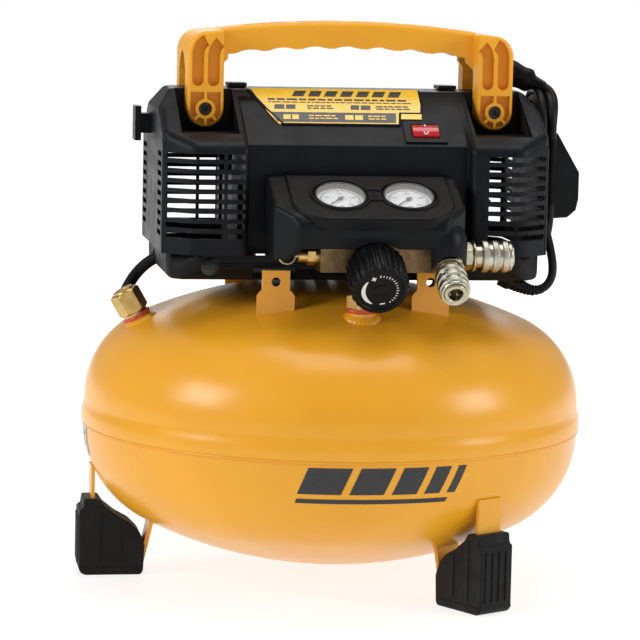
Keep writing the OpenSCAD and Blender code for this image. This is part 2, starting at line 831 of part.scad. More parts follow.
// route of the cord from the gland to the winding, and from the winding to the plug
lead_points = [[141.4, -64, 245.2], [148, -65, 242.4], [154, -65.5, 241.3], [160.5, -65.2, 242.6],
    [166, -63.8, 246.6], [169.6, -61.2, 253], [170.8, -57.5, 261], [170.6, -52.5, 269.5], [169.8, -47, 278],
    [168.6, -41.5, 286.5], [167.2, -36.8, 295.3], [166, -34.2, 303]];
tail_points = [[168.9, -10.6, 403.9], [172.6, -13, 401.7], [174.6, -16.8, 398], [175, -21.2, 393.2],
    [174.6, -25.2, 388]];

module cord_leads() {
    color("#101010") {
        tube(lead_points, cord_d, 10);
        tube(tail_points, cord_d, 10);
    }
}

module coil_outline(r) {
    translate([coil_h / 2 - coil_r, 0]) circle(r = r);
    translate([-coil_h / 2 + coil_r, 0]) circle(r = r);
    translate([-coil_h / 2 + coil_r, -r]) square([coil_h - 2 * coil_r, 2 * r]);
}

module cord_winding() {
    color("#101010") translate([coil_x0, 0, coil_z]) rotate([0, 90, 0]) linear_extrude(height = coil_x1 - coil_x0)
        difference() {
            coil_outline(coil_r);
            coil_outline(coil_inner);
        }
}

module cord_plug() {
    color("#151515") translate([140, 3, 415.5]) rotate([0, 0, -25.2]) rotate([0, 110, 0]) {
        cylinder(r = 10.5, h = 24);
        translate([0, 0, 24]) cylinder(r = 6, h = 10);
        for (s = [-1, 1]) translate([-3, s * 6.3 - 0.8, -16]) cube([6, 1.6, 17]);
    }
}

// drive: the motor turns a toothed belt, the belt turns the crank, the crank works the rod
module motor_place() {
    translate([motor_x, motor_y, motor_z]) rotate([0, 90, 0]) children();
}

module motor_housing() {
    color("slategray") motor_place() difference() {
        translate([0, 0, -50]) cylinder(r = 34, h = 100);
        translate([0, 0, -46]) cylinder(r = 29, h = 92);
        translate([0, 0, -60]) cylinder(r = 8.05, h = 120);
        for (k = [0 : 7]) rotate([0, 0, k * 45]) translate([15, -4, -60]) cube([10, 8, 120]);
    }
}

module motor_rotor() {
    color("darkorange") motor_place() {
        translate([0, 0, -34]) cylinder(r = 25, h = 68);
        translate([0, 0, -81]) cylinder(r = 8, h = 141);
        translate([0, 0, -79]) cylinder(r = pinion_r, h = 12);
        translate([0, 0, 53]) cylinder(r = 12, h = 12);
        for (k = [0 : 8]) rotate([0, 0, k * 40]) translate([11, -1.5, 54]) cube([22, 3, 10]);
    }
}

module motor_bracket() {
    color("gray") difference() {
        union() {
            translate([22, 4, 253]) cube([92, 68, 3]);
            for (x = [24, 109]) translate([x, 8, 256]) cube([3, 60, 40]);
        }
        motor_place() cylinder(r = 34, h = 140, center = true);
    }
}

module belt_outline(g) {
    d = norm([motor_y - crank_y, motor_z - crank_z]);
    a = acos((wheel_r - pinion_r) / d);
    translate([crank_y, crank_z]) rotate([0, 0, atan2(motor_z - crank_z, motor_y - crank_y)]) {
        circle(r = wheel_r + g);
        translate([d, 0]) circle(r = pinion_r + g);
        polygon([[(wheel_r + g) * cos(a), (wheel_r + g) * sin(a)],
            [(wheel_r + g) * cos(a), -(wheel_r + g) * sin(a)],
            [d + (pinion_r + g) * cos(a), -(pinion_r + g) * sin(a)],
            [d + (pinion_r + g) * cos(a), (pinion_r + g) * sin(a)]]);
    }
}

module drive_belt() {
    color("#1d1d1d") translate([belt_x + 1, 0, 0]) rotate([90, 0, 90]) linear_extrude(height = 10) difference() {
        belt_outline(2.3);
        belt_outline(0.3);
    }
}

module crank_wheel() {
    color("silver") translate([0, crank_y, crank_z]) rotate([0, 90, 0]) {
        difference() {
            translate([0, 0, belt_x]) cylinder(r = wheel_r, h = 12);
            for (k = [0 : 5]) rotate([0, 0, k * 60]) translate([26, 0, belt_x - 1]) cylinder(r = 8, h = 14);
        }
        translate([0, 0, -50]) cylinder(r = 7, h = 45);
        translate([0, 0, -53]) cylinder(r = 18, h = 6);
        translate([-crank_e, 0, rod_x - 7]) cylinder(r = 5, h = 16);
    }
}

module pump_body() {
    color("lightgray") difference() {
        union() {
            translate([-45, crank_y, crank_z]) rotate([0, 90, 0]) cylinder(r = 15, h = 29);
            translate([-42, crank_y - 15, 256]) cube([10, 30, 46]);
            translate([-45, crank_y - 12, 302]) cube([8, 24, 24]);
            translate([rod_x - 29, crank_y - 29, 326]) cube([58, 58, 5]);
            translate([rod_x, crank_y, 324]) cylinder(r = bore_r + 4, h = 38);
            translate([-92, crank_y - 30, 253]) cube([66, 60, 3]);
            translate([-92, crank_y - 29, 253]) cube([5, 58, 78]);
        }
        translate([-60, crank_y, crank_z]) rotate([0, 90, 0]) cylinder(r = 7.05, h = 60);
        translate([rod_x, crank_y, 310]) cylinder(r = bore_r, h = 60);
    }
}

module connecting_rod() {
    color("gray") translate([rod_x, crank_y, crank_z + crank_e]) {
        rotate([0, 90, 0]) difference() {
            translate([0, 0, -5]) cylinder(r = 9, h = 10);
            translate([0, 0, -6]) cylinder(r = 5.05, h = 12);
        }
        translate([-4, -4, 8]) cube([8, 8, 24]);
    }
}

module piston() {
    color("white") translate([rod_x, crank_y, 337]) difference() {
        cylinder(r = bore_r - 0.05, h = 23);
        translate([0, 0, -1]) cylinder(r = bore_r - 5, h = 20);
    }
}

module cylinder_head() {
    color("lightgray") {
        translate([rod_x - 25, crank_y - 25, 362]) cube([50, 50, 4]);
        translate([rod_x - 23, crank_y - 23, 366]) cube([46, 46, 9]);
    }
}

tank_upper();
tank_lower();
tank_bungs();
strap_left();
strap_right();
strap_rear();
boot_left();
boot_right();
boot_rear();
mount_tabs();
isolators();
check_valve();
outlet_tube();
riser_pipe();
manifold();
pressure_switch();
safety_valve();
safety_ring();
drain_body();
drain_knob();
regulator_body();
regulator_knob();
coupler_front();
sleeve_front();
coupler_side();
sleeve_side();
gauge_case_tank();
gauge_dial_tank();
gauge_needle_tank();
gauge_lens_tank();
gauge_case_line();
gauge_dial_line();
gauge_needle_line();
gauge_lens_line();
console();
shroud_front();
shroud_rear();
base_pan();
label_plate();
ridge_pads();
handle();
handle_bolts();
switch_bezel();
rocker();
cord_hook();
cord_wrap();
cord_gland();
cord_leads();
cord_winding();
cord_plug();
motor_housing();
motor_rotor();
motor_bracket();
drive_belt();
crank_wheel();
pump_body();
connecting_rod();
piston();
cylinder_head();
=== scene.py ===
"""Pancake air compressor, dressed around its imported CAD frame.
Metres, +Z up, -Y is the control side, +X the cord side. Lengths in this file are in millimetres, times MM."""

import math
import random

import bmesh
import bpy
from mathutils import Matrix, Vector


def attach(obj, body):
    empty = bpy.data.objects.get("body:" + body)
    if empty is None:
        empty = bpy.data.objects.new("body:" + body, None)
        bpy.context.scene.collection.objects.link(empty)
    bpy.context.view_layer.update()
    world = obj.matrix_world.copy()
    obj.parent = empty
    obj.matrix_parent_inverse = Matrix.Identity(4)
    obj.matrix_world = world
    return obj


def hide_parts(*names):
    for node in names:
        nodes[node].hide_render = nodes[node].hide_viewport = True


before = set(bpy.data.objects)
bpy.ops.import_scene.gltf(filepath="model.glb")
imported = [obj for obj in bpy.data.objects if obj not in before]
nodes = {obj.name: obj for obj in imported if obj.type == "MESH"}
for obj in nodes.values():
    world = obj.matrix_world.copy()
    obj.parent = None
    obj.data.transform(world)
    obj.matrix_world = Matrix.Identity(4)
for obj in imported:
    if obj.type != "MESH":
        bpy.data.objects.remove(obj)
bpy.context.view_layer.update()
scene = bpy.context.scene
MM = 0.001
TAU = 2 * math.pi


# ---------------------------------------------------------------- frames of the parts
def place(x, y, z, *turns):
    """A frame at (x, y, z) mm, turned by ("axis", degrees) pairs, the outermost first."""
    m = Matrix.Translation(Vector((x, y, z)) * MM)
    for axis, degrees in turns:
        m = m @ Matrix.Rotation(math.radians(degrees), 4, axis)
    return m


HOME = Matrix.Identity(4)
TANK_R, SEAM_Z, FLANGE = 203.0, 133.0, 12.0
UPPER_KNUCKLE, UPPER_CROWN = 72.0, 99.0
LOWER_KNUCKLE, LOWER_CROWN = 80.0, 110.0
TANK_WALL = 2.0
FEET = {"left": 180, "right": 300, "rear": 60}
SHROUD_DX = 5.0
KNOB = place(9, -131, 274, ("X", 120))
FRONT_COUPLER = place(67, -131, 274, ("X", 120)) @ place(0, 0, 2)
SIDE_COUPLER = place(76, -119, 274, ("Y", 90))
PANEL = place(0, -122, 319.5, ("X", 24))  # the sloping face of the console
GAUGE_X = {"tank": -16, "line": 38}
SWITCH = place(61, -64, 367.6, ("X", 37))
PLUG = place(140, 3, 415.5, ("Z", -25.2), ("Y", 110))
LABEL = place(0, -22.5, 399.4, ("X", 36.7))


def crown_radius(r, knuckle, height):
    return ((r - knuckle) ** 2 + height**2 - knuckle**2) / (2 * (height - knuckle))


def upper_height(q):
    """Height of the outside of the upper shell at radius q, in mm above the floor."""
    c = crown_radius(TANK_R, UPPER_KNUCKLE, UPPER_CROWN)
    return SEAM_Z + FLANGE + UPPER_CROWN - c + math.sqrt(c * c - q * q)


def lower_radius(z):
    """Radius of the lower shell's corner at height z."""
    top = SEAM_Z - FLANGE
    if z >= top:
        return TANK_R
    return TANK_R - LOWER_KNUCKLE + math.sqrt(LOWER_KNUCKLE**2 - (top - z) ** 2)


CHECK = place(-160, -12, upper_height(160) - 2, ("Y", -30))


# ---------------------------------------------------------------- materials
def material(name, low, high, mottle=45.0, rough=(0.4, 0.5), bumps=(), metallic=0.0, coat=0.0,
             coat_rough=0.15, dust=0.0, marks=0.0, mark_colour=(0.5, 0.5, 0.5), specular=0.5, alpha=1.0,
             sheen=0.0, streak=None, ior=1.5):
    """A surface whose colour drifts from low to high, with its own grain, specks and settled dust."""
    m = bpy.data.materials.new(name)
    m.use_nodes = True
    tree = m.node_tree
    new, link = tree.nodes.new, tree.links.new
    surface = tree.nodes["Principled BSDF"]
    where = new("ShaderNodeTexCoord").outputs["Object"]

    def noise(scale, detail=4.0, vector=None):
        n = new("ShaderNodeTexNoise")
        n.inputs["Scale"].default_value = scale
        n.inputs["Detail"].default_value = detail
        link(vector or where, n.inputs["Vector"])
        return n.outputs[0]

    def remap(value, lo, hi, to_lo, to_hi):
        n = new("ShaderNodeMapRange")
        for socket, v in zip(n.inputs[1:5], (lo, hi, to_lo, to_hi)):
            socket.default_value = v
        link(value, n.inputs[0])
        return n.outputs[0]

    def blend(a, b, fac):
        n = new("ShaderNodeMix")
        n.data_type = "RGBA"
        link(fac, n.inputs[0])
        for socket, v in ((n.inputs[6], a), (n.inputs[7], b)):
            if isinstance(v, tuple):
                socket.default_value = (*v, 1)
            else:
                link(v, socket)
        return n.outputs[2]

    def times(a, b):
        n = new("ShaderNodeMath")
        n.operation = "MULTIPLY"
        link(a, n.inputs[0])
        link(b, n.inputs[1])
        return n.outputs[0]

    def stretched(scale):
        n = new("ShaderNodeMapping")
        n.inputs["Scale"].default_value = scale
        link(where, n.inputs["Vector"])
        return n.outputs[0]

    colour = blend(low, high, remap(noise(mottle, 6), 0.32, 0.68, 0, 1))
    if marks:
        specks = remap(noise(900, 2), 0.66, 0.74, 0, marks)
        patches = remap(noise(38, 3), 0.45, 0.62, 0, 1)
        colour = blend(colour, mark_colour, times(specks, patches))
    if dust:
        normal = new("ShaderNodeNewGeometry").outputs["Normal"]
        split = new("ShaderNodeSeparateXYZ")
        link(normal, split.inputs[0])
        lying = remap(split.outputs[2], 0.35, 1.0, 0, dust)
        colour = blend(colour, (0.55, 0.53, 0.49), times(lying, remap(noise(120, 5), 0.4, 0.7, 0.15, 1)))
    link(colour, surface.inputs["Base Color"])
    link(remap(noise(mottle * 2.3, 5), 0.3, 0.7, *rough), surface.inputs["Roughness"])
    last = None
    for kind, scale, depth in bumps:
        if kind == "noise":
            height = noise(scale, 3)
        elif kind == "streak":
            height = noise(scale, 2, stretched(streak))
        else:
            v = new("ShaderNodeTexVoronoi")
            v.inputs["Scale"].default_value = scale
            link(where, v.inputs["Vector"])
            height = v.outputs["Distance"]
        b = new("ShaderNodeBump")
        b.inputs["Strength"].default_value = 1.0
        b.inputs["Distance"].default_value = depth
        link(height, b.inputs["Height"])
        if last is not None:
            link(last, b.inputs["Normal"])
        last = b.outputs[0]
    if last is not None:
        link(last, surface.inputs["Normal"])
    for socket, v in (("Metallic", metallic), ("Coat Weight", coat), ("Coat Roughness", coat_rough),
                      ("Specular IOR Level", specular), ("Alpha", alpha), ("Sheen Weight", sheen),
                      ("IOR", ior)):
        surface.inputs[socket].default_value = v
    return m


YELLOW = material("yellow_paint", (0.80, 0.355, 0.014), (0.85, 0.385, 0.018), 14, (0.27, 0.34),
                  (("noise", 420, 0.00006), ("noise", 1500, 0.00002)), coat=0.18, coat_rough=0.2,
                  dust=0.01, marks=0.22, mark_colour=(0.42, 0.19, 0.03), specular=0.36)
GRIP = material("handle_plastic", (0.80, 0.35, 0.014), (0.86, 0.39, 0.020), 30, (0.36, 0.48),
                (("voronoi", 1300, 0.00005), ("noise", 2600, 0.00003)), dust=0.015, marks=0.3,
                mark_colour=(0.5, 0.22, 0.02), specular=0.32)
SHROUD = material("shroud_plastic", (0.0045, 0.0050, 0.0062), (0.0078, 0.0086, 0.0104), 26, (0.34, 0.46),
                  (("voronoi", 1500, 0.00006), ("noise", 2800, 0.00003)), dust=0.006, marks=0.12,
                  mark_colour=(0.05, 0.05, 0.05), specular=0.13)
PAN = material("pan_plastic", (0.004, 0.0045, 0.0052), (0.007, 0.0075, 0.0085), 32, (0.42, 0.56),
               (("voronoi", 1300, 0.00006),), dust=0.006, specular=0.13)
CONSOLE = material("console_plastic", (0.0038, 0.0042, 0.0050), (0.0065, 0.0070, 0.0082), 30, (0.32, 0.44),
                   (("voronoi", 1700, 0.00005), ("noise", 3000, 0.00002)), dust=0.006, specular=0.13)
BLACK = material("black_plastic", (0.0032, 0.0032, 0.0036), (0.0060, 0.0060, 0.0066), 60, (0.32, 0.48),
                 (("noise", 1900, 0.00004),), dust=0.005, specular=0.13)
RUBBER = material("boot_rubber", (0.007, 0.007, 0.0072), (0.013, 0.013, 0.013), 50, (0.5, 0.68),
                  (("noise", 900, 0.00012), ("voronoi", 2200, 0.00005)), dust=0.012, marks=0.4,
                  mark_colour=(0.03, 0.029, 0.027), sheen=0.06, specular=0.13)
BELT = material("belt_rubber", (0.012, 0.012, 0.012), (0.022, 0.022, 0.022), 90, (0.65, 0.8),
                (("noise", 1600, 0.00008),))
HOSE = material("hose_rubber", (0.006, 0.006, 0.0065), (0.012, 0.012, 0.013), 70, (0.38, 0.55),
                (("noise", 1100, 0.00006),), dust=0.006, specular=0.13)
JACKET = material("cord_jacket", (0.005, 0.005, 0.0056), (0.010, 0.010, 0.011), 80, (0.32, 0.46),
                  (("noise", 1700, 0.00004),), dust=0.005, specular=0.16)
BRASS = material("brass", (0.50, 0.33, 0.11), (0.72, 0.50, 0.19), 95, (0.24, 0.42),
                 (("noise", 2300, 0.00004), ("streak", 900, 0.00003)), metallic=1.0, marks=0.5,
                 mark_colour=(0.25, 0.15, 0.05), streak=(1, 1, 9))
PLATED = material("plated_steel", (0.44, 0.40, 0.27), (0.60, 0.57, 0.44), 110, (0.20, 0.36),
                  (("streak", 700, 0.00004), ("noise", 2600, 0.00002)), metallic=1.0, streak=(9, 1, 1))
SLEEVE = material("sleeve_plating", (0.42, 0.40, 0.32), (0.60, 0.575, 0.48), 130, (0.22, 0.38),
                  (("noise", 2400, 0.00003),), metallic=1.0, marks=0.4, mark_colour=(0.26, 0.23, 0.17))
CAST = material("cast_alloy", (0.34, 0.34, 0.345), (0.50, 0.50, 0.51), 70, (0.42, 0.60),
                (("noise", 700, 0.00018), ("voronoi", 1600, 0.00006)), metallic=1.0, dust=0.1)
BRONZE = material("manifold_bronze", (0.16, 0.10, 0.05), (0.30, 0.20, 0.10), 90, (0.38, 0.55),
                  (("noise", 1200, 0.0001),), metallic=1.0, marks=0.4, mark_colour=(0.08, 0.05, 0.03))
MACHINED = material("machined_alloy", (0.52, 0.52, 0.53), (0.68, 0.68, 0.69), 80, (0.22, 0.34),
                    (("streak", 800, 0.00004),), metallic=1.0, streak=(1, 9, 1))
PTFE = material("piston_ptfe", (0.56, 0.54, 0.49), (0.70, 0.68, 0.62), 60, (0.45, 0.6),
                (("noise", 1400, 0.00004),))
BOLT = material("bolt_steel", (0.018, 0.018, 0.019), (0.05, 0.05, 0.052), 160, (0.30, 0.46),
                (("noise", 2400, 0.00003),), metallic=0.8)
SHELL = material("motor_shell", (0.06, 0.063, 0.07), (0.10, 0.104, 0.112), 60, (0.4, 0.55),
                 (("noise", 900, 0.00008),), dust=0.12)
COPPER = material("rotor_steel", (0.30, 0.17, 0.10), (0.46, 0.30, 0.20), 120, (0.3, 0.5),
                  (("streak", 900, 0.00012),), metallic=1.0, streak=(12, 1, 1))
BEZEL = material("bezel_plastic", (0.010, 0.010, 0.011), (0.018, 0.018, 0.020), 70, (0.16, 0.26),
                 (("noise", 1800, 0.00002),), coat=0.3, coat_rough=0.1)
DIAL = material("dial_white", (0.80, 0.82, 0.83), (0.88, 0.89, 0.90), 60, (0.45, 0.55),
                (("noise", 2200, 0.00001),))
INK = material("dial_ink", (0.010, 0.010, 0.011), (0.022, 0.022, 0.024), 400, (0.5, 0.62),
               (("noise", 2600, 0.00001),))
RED_INK = material("dial_red_ink", (0.50, 0.03, 0.02), (0.60, 0.05, 0.035), 400, (0.5, 0.62),
                   (("noise", 2600, 0.00001),))
LENS = material("lens_clear", (0.95, 0.97, 0.98), (1.0, 1.0, 1.0), 20, (0.02, 0.05), (), coat=0.0,
                specular=0.9, alpha=0.13, ior=1.52)
LABEL_YELLOW = material("label_film", (0.86, 0.50, 0.012), (0.90, 0.54, 0.018), 40, (0.20, 0.30),
                        (("noise", 700, 0.00003),), coat=0.25, coat_rough=0.12, dust=0.03)
LABEL_INK = material("label_ink", (0.008, 0.008, 0.009), (0.016, 0.016, 0.017), 160, (0.24, 0.36),
                     (("noise", 1500, 0.00002),), dust=0.03)
DECAL = material("decal_ink", (0.007, 0.007, 0.008), (0.014, 0.014, 0.015), 120, (0.22, 0.34),
                 (("noise", 1500, 0.00002),), coat=0.15, coat_rough=0.2)
RED = material("rocker_red", (0.40, 0.006, 0.007), (0.50, 0.012, 0.012), 90, (0.14, 0.24),
               (("noise", 1500, 0.00002),), coat=0.4, coat_rough=0.08)
WHITE_PRINT = material("white_print", (0.70, 0.70, 0.69), (0.82, 0.82, 0.81), 200, (0.4, 0.5),
                       (("noise", 2000, 0.00002),))
SEALANT = material("thread_sealant", (0.48, 0.045, 0.025), (0.66, 0.09, 0.04), 260, (0.35, 0.55),
                   (("noise", 900, 0.0002),))
TAPE = material("thread_tape", (0.74, 0.74, 0.72), (0.88, 0.88, 0.86), 180, (0.5, 0.7),
                (("streak", 900, 0.0002),), streak=(1, 1, 8))
PLATE_GREY = material("data_plate", (0.40, 0.41, 0.42), (0.55, 0.56, 0.57), 70, (0.3, 0.45),
                      (("streak", 900, 0.00003),), metallic=0.9, streak=(1, 1, 10))
FLOOR = material("studio_floor", (0.24, 0.24, 0.24), (0.27, 0.27, 0.27), 3, (0.55, 0.65),
                 (("noise", 90, 0.00003),), specular=0.1)


# ---------------------------------------------------------------- mesh helpers
def joined(*parts):
    """One (points, faces) pair from several."""
    points, faces = [], []
    for p, f in parts:
        faces += [tuple(i + len(points) for i in face) for face in f]
        points += list(p)
    return points, faces


def moved(part, m):
    """The part turned and shifted by a frame made with place()."""
    points, faces = part
    return [tuple((m @ (Vector(p) * MM)) / MM) for p in points], faces


def edit(mesh, *changes):
    """Runs bmesh changes on a mesh."""
    bm = bmesh.new()
    bm.from_mesh(mesh)
    for change in changes:
        change(bm)
    bm.to_mesh(mesh)
    bm.free()


def turn_outwards(bm):
    bmesh.ops.recalc_face_normals(bm, faces=bm.faces)


def linked(name, data):
    o = bpy.data.objects.new(name, data)
    scene.collection.objects.link(o)
    return o


def paint(o, mat):
    """Makes mat the only material of an object."""
    o.data.materials.clear()
    o.data.materials.append(mat)


def dress(o, mat, body, sharp, replaces):
    """Material and shading of a piece, what it rides on, and hides the CAD nodes it stands for."""
    paint(o, mat)
    o.data.shade_smooth()
    o.data.set_sharp_from_angle(angle=math.radians(sharp))
    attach(o, body)
    if replaces:
        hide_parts(*replaces)
    return o


def piece(name, part, mat, body="frame", at=HOME, sharp=38, replaces=()):
    """An object from (points in mm, faces), that rides on a CAD body."""
    points, faces = part
    mesh = bpy.data.meshes.new(name)
    mesh.from_pydata([at @ (Vector(p) * MM) for p in points], [], faces)
    mesh.validate()
    edit(mesh, turn_outwards)
    return dress(linked(name, mesh), mat, body, sharp, replaces)


def soften(o, width, segments=3, angle=30, dissolve=False):
    """Rounds the edges of a moulding by width mm and evens its shading."""
    if dissolve:
        d = o.modifiers.new("merge_flats", "DECIMATE")
        d.decimate_type = "DISSOLVE"
        d.angle_limit = math.radians(0.3)
    b = o.modifiers.new("round_edges", "BEVEL")
    b.width = width * MM
    b.segments = segments
    b.limit_method = "ANGLE"
    b.angle_limit = math.radians(angle)
    b.use_clamp_overlap = True
    b.miter_outer = "MITER_ARC"
    n = o.modifiers.new("even_normals", "WEIGHTED_NORMAL")
    n.weight = 60
    return o


def settle(o):
    """Turns a piece's modifiers into its mesh."""
    bpy.context.view_layer.update()
    mesh = bpy.data.meshes.new_from_object(o.evaluated_get(bpy.context.evaluated_depsgraph_get()))
    o.modifiers.clear()
    o.data = mesh
    return o


def bare(part, at=HOME):
    """A loose object from (points, faces), to cut with."""
    points, faces = part
    mesh = bpy.data.meshes.new("tool")
    mesh.from_pydata([at @ (Vector(p) * MM) for p in points], [], faces)
    edit(mesh, turn_outwards)
    return linked("tool", mesh)


def carve(o, part, how="DIFFERENCE", at=HOME):
    """Cuts (points, faces) or a loose object out of a piece, or joins or intersects the two."""
    tool = part if isinstance(part, bpy.types.Object) else bare(part, at)
    b = o.modifiers.new("carve", "BOOLEAN")
    b.operation, b.solver, b.object = how, "EXACT", tool
    settle(o)
    mesh = tool.data
    bpy.data.objects.remove(tool)
    bpy.data.meshes.remove(mesh)
    return o


def pillow(parts, radius, segments=5, angle=20):
    """A loose convex block, where all the parts overlap, with its edges rounded."""
    o = bare(parts[0])
    for part in parts[1:]:
        carve(o, part, "INTERSECT")
    edit(o.data, lambda bm: bmesh.ops.remove_doubles(bm, verts=bm.verts, dist=1e-6),
         lambda bm: bmesh.ops.dissolve_limit(bm, angle_limit=math.radians(0.5), verts=bm.verts, edges=bm.edges))
    b = o.modifiers.new("round", "BEVEL")
    b.width, b.segments, b.limit_method, b.angle_limit = radius * MM, segments, "ANGLE", math.radians(angle)
    return settle(o)


def moulding(node, mat, blocks, edge=0.5, dissolve=False):
    """A CAD moulding with its outer corners rounded: the node's own mesh, cut to rounded blocks."""
    bm = bmesh.new()
    bm.from_mesh(nodes[node].data)
    bmesh.ops.remove_doubles(bm, verts=bm.verts, dist=2e-6)
    mesh = bpy.data.meshes.new(node + "_moulding")
    bm.to_mesh(mesh)
    bm.free()
    o = linked(node + "_moulding", mesh)
    outer = blocks[0]
    for other in blocks[1:]:
        carve(outer, other, "UNION")
    carve(o, outer, "INTERSECT")
    if not dissolve:  # long flat faces with holes are split first, since an n-gon round a hole tears
        edit(o.data, lambda bm: bmesh.ops.triangulate(bm, faces=bm.faces, ngon_method="EAR_CLIP"))
    dress(o, mat, "frame", 38, (node,))
    return soften(o, edge, 2, 40, dissolve=dissolve)


def polar(r, degrees):
    a = math.radians(degrees)
    return r * math.cos(a), r * math.sin(a)


def arc_line(cx, cy, r, a0, a1, steps):
    """Points on an arc about (cx, cy), from a0 to a1 degrees."""
    return [(cx + x, cy + y) for x, y in (polar(r, a0 + (a1 - a0) * k / steps) for k in range(steps + 1))]


def fillet(line, radius, steps=4):
    """The polyline with its inner corners rounded."""
    out = [line[0]]
    for i in range(1, len(line) - 1):
        a, b, c = (Vector(line[k]) for k in (i - 1, i, i + 1))
        u, v = a - b, c - b
        if u.length < 1e-6 or v.length < 1e-6:
            continue
        turn = math.pi - u.angle(v)
        if turn < 0.15:
            out.append(tuple(b))
            continue
        reach = min(radius * math.tan(turn / 2), 0.45 * u.length, 0.45 * v.length)
        p, q = b + u.normalized() * reach, b + v.normalized() * reach
        for k in range(steps + 1):
            t = k / steps
            out.append(tuple((1 - t) ** 2 * p + 2 * t * (1 - t) * b + t * t * q))
    out.append(line[-1])
    return out


def rings(stations, shape, n, loop=False):
    """Skin through rings. shape(station, angle) gives a radius, and a station is (radius, z, ...)."""
    points, index = [], []
    for s in stations:
        if s[0] < 1e-6:
            index.append([len(points)])
            points.append((0, 0, s[1]))
            continue
        index.append(list(range(len(points), len(points) + n)))
        for k in range(n):
            a = TAU * k / n
            r = shape(s, a)
            points.append((r * math.cos(a), r * math.sin(a), s[1]))
    faces = []
    for i in range(len(index) if loop else len(index) - 1):
        a, b = index[i], index[(i + 1) % len(index)]
        if len(a) == 1 and len(b) == 1:
            continue
        for k in range(n):
            j = (k + 1) % n
            if len(a) == 1:
                faces.append((a[0], b[j], b[k]))
            elif len(b) == 1:
                faces.append((a[k], a[j], b[0]))
            else:
                faces.append((a[k], a[j], b[j], b[k]))
    return points, faces


def lathe(profile, n=72, loop=False):
    return rings(profile, lambda s, a: s[0], n, loop)


def turned(stations, n=96, loop=False):
    """A turned part whose stations are (radius, z) or (radius, z, width across hexagon flats)."""
    def shape(s, a):
        if len(s) < 3:
            return s[0]
        return min(s[0], s[2] / 2 / math.cos((a % (math.pi / 3)) - math.pi / 6))
    return rings(stations, shape, n, loop)


def hexagon(af, z0, z1, chamfer=1.5, steps=4):
    """Stations of a hexagon with turned chamfers."""
    corner = af / math.sqrt(3)
    inner = af / 2 * 0.97
    rise = [(inner + (corner - inner) * k / steps, chamfer * k / steps) for k in range(steps + 1)]
    return [(r, z0 + h, af) for r, h in rise] + [(r, z1 - h, af) for r, h in reversed(rise)]


def prism(outline, z0, z1):
    n = len(outline)
    points = [(x, y, z0) for x, y in outline] + [(x, y, z1) for x, y in outline]
    faces = [tuple(range(n - 1, -1, -1)), tuple(range(n, 2 * n))]
    faces += [(k, (k + 1) % n, n + (k + 1) % n, n + k) for k in range(n)]
    return points, faces


def along_x(side, x0, x1):
    """A prism of a (y, z) outline from x0 to x1."""
    points, faces = prism(side, x0, x1)
    return [(z, x, y) for x, y, z in points], faces


def along_y(front, y0, y1):
    """A prism of an (x, z) outline from y0 to y1."""
    points, faces = prism(front, y0, y1)
    return [(x, z, y) for x, y, z in points], faces


def block(x0, y0, z0, x1, y1, z1):
    return prism([(x0, y0), (x1, y0), (x1, y1), (x0, y1)], z0, z1)


def slanted(x, y, width, height, lean, z0=0.0, z1=0.25):
    """A thin bar that leans to the right."""
    return prism([(x, y), (x + width, y), (x + width + lean, y + height), (x + lean, y + height)], z0, z1)


def strip(rows):
    """A closed bar through rows of four points."""
    points = [p for row in rows for p in row]
    last = len(points) - 4
    faces = [(i + j, i + (j + 1) % 4, i + 4 + (j + 1) % 4, i + 4 + j) for i in range(0, last, 4) for j in range(4)]
    return points, faces + [(3, 2, 1, 0), (last, last + 1, last + 2, last + 3)]


def tube(path, radius, n=24):
    """A closed tube along a path in mm. radius is a number, or a function of the share of the path."""
    path = [Vector(p) for p in path]
    lengths = [0.0]
    for a, b in zip(path, path[1:]):
        lengths.append(lengths[-1] + (b - a).length)
    size = radius if callable(radius) else (lambda t: radius)
    ahead = [(path[min(i + 1, len(path) - 1)] - path[max(i - 1, 0)]).normalized() for i in range(len(path))]
    side = ahead[0].orthogonal().normalized()
    points, faces = [], []
    for i, p in enumerate(path):
        side = (side - ahead[i] * side.dot(ahead[i])).normalized()
        other = ahead[i].cross(side)
        r = size(lengths[i] / lengths[-1])
        for k in range(n):
            a = TAU * k / n
            points.append(tuple(p + r * (math.cos(a) * side + math.sin(a) * other)))
    for i in range(len(path) - 1):
        for k in range(n):
            j = (k + 1) % n
            faces.append((i * n + k, i * n + j, (i + 1) * n + j, (i + 1) * n + k))
    faces.append(tuple(range(n - 1, -1, -1)))
    faces.append(tuple((len(path) - 1) * n + k for k in range(n)))
    return points, faces


def smooth_path(points, steps=8):
    """Catmull-Rom curve through the points."""
    p = [Vector(q) for q in points]
    p = [2 * p[0] - p[1]] + p + [2 * p[-1] - p[-2]]
    out = []
    for i in range(1, len(p) - 2):
        for k in range(steps):
            t = k / steps
            out.append(0.5 * (2 * p[i] + (p[i + 1] - p[i - 1]) * t
                              + (2 * p[i - 1] - 5 * p[i] + 4 * p[i + 1] - p[i + 2]) * t * t
                              + (3 * p[i] - p[i - 1] - 3 * p[i + 1] + p[i + 2]) * t**3))
    out.append(p[-2])
    return out


def numeral(text, size, depth=0.06):
    """Flat figures for a dial, as (points, faces) in mm, centred on the origin."""
    curve = bpy.data.curves.new("figure", "FONT")
    curve.body = text
    curve.size = size
    curve.align_x = curve.align_y = "CENTER"
    curve.extrude = depth / 2
    o = linked("figure", curve)
    bpy.context.view_layer.update()
    mesh = bpy.data.meshes.new_from_object(o.evaluated_get(bpy.context.evaluated_depsgraph_get()))
    part = ([tuple(v.co) for v in mesh.vertices], [tuple(f.vertices) for f in mesh.polygons])
    bpy.data.objects.remove(o)
    bpy.data.curves.remove(curve)
    bpy.data.meshes.remove(mesh)
    return part


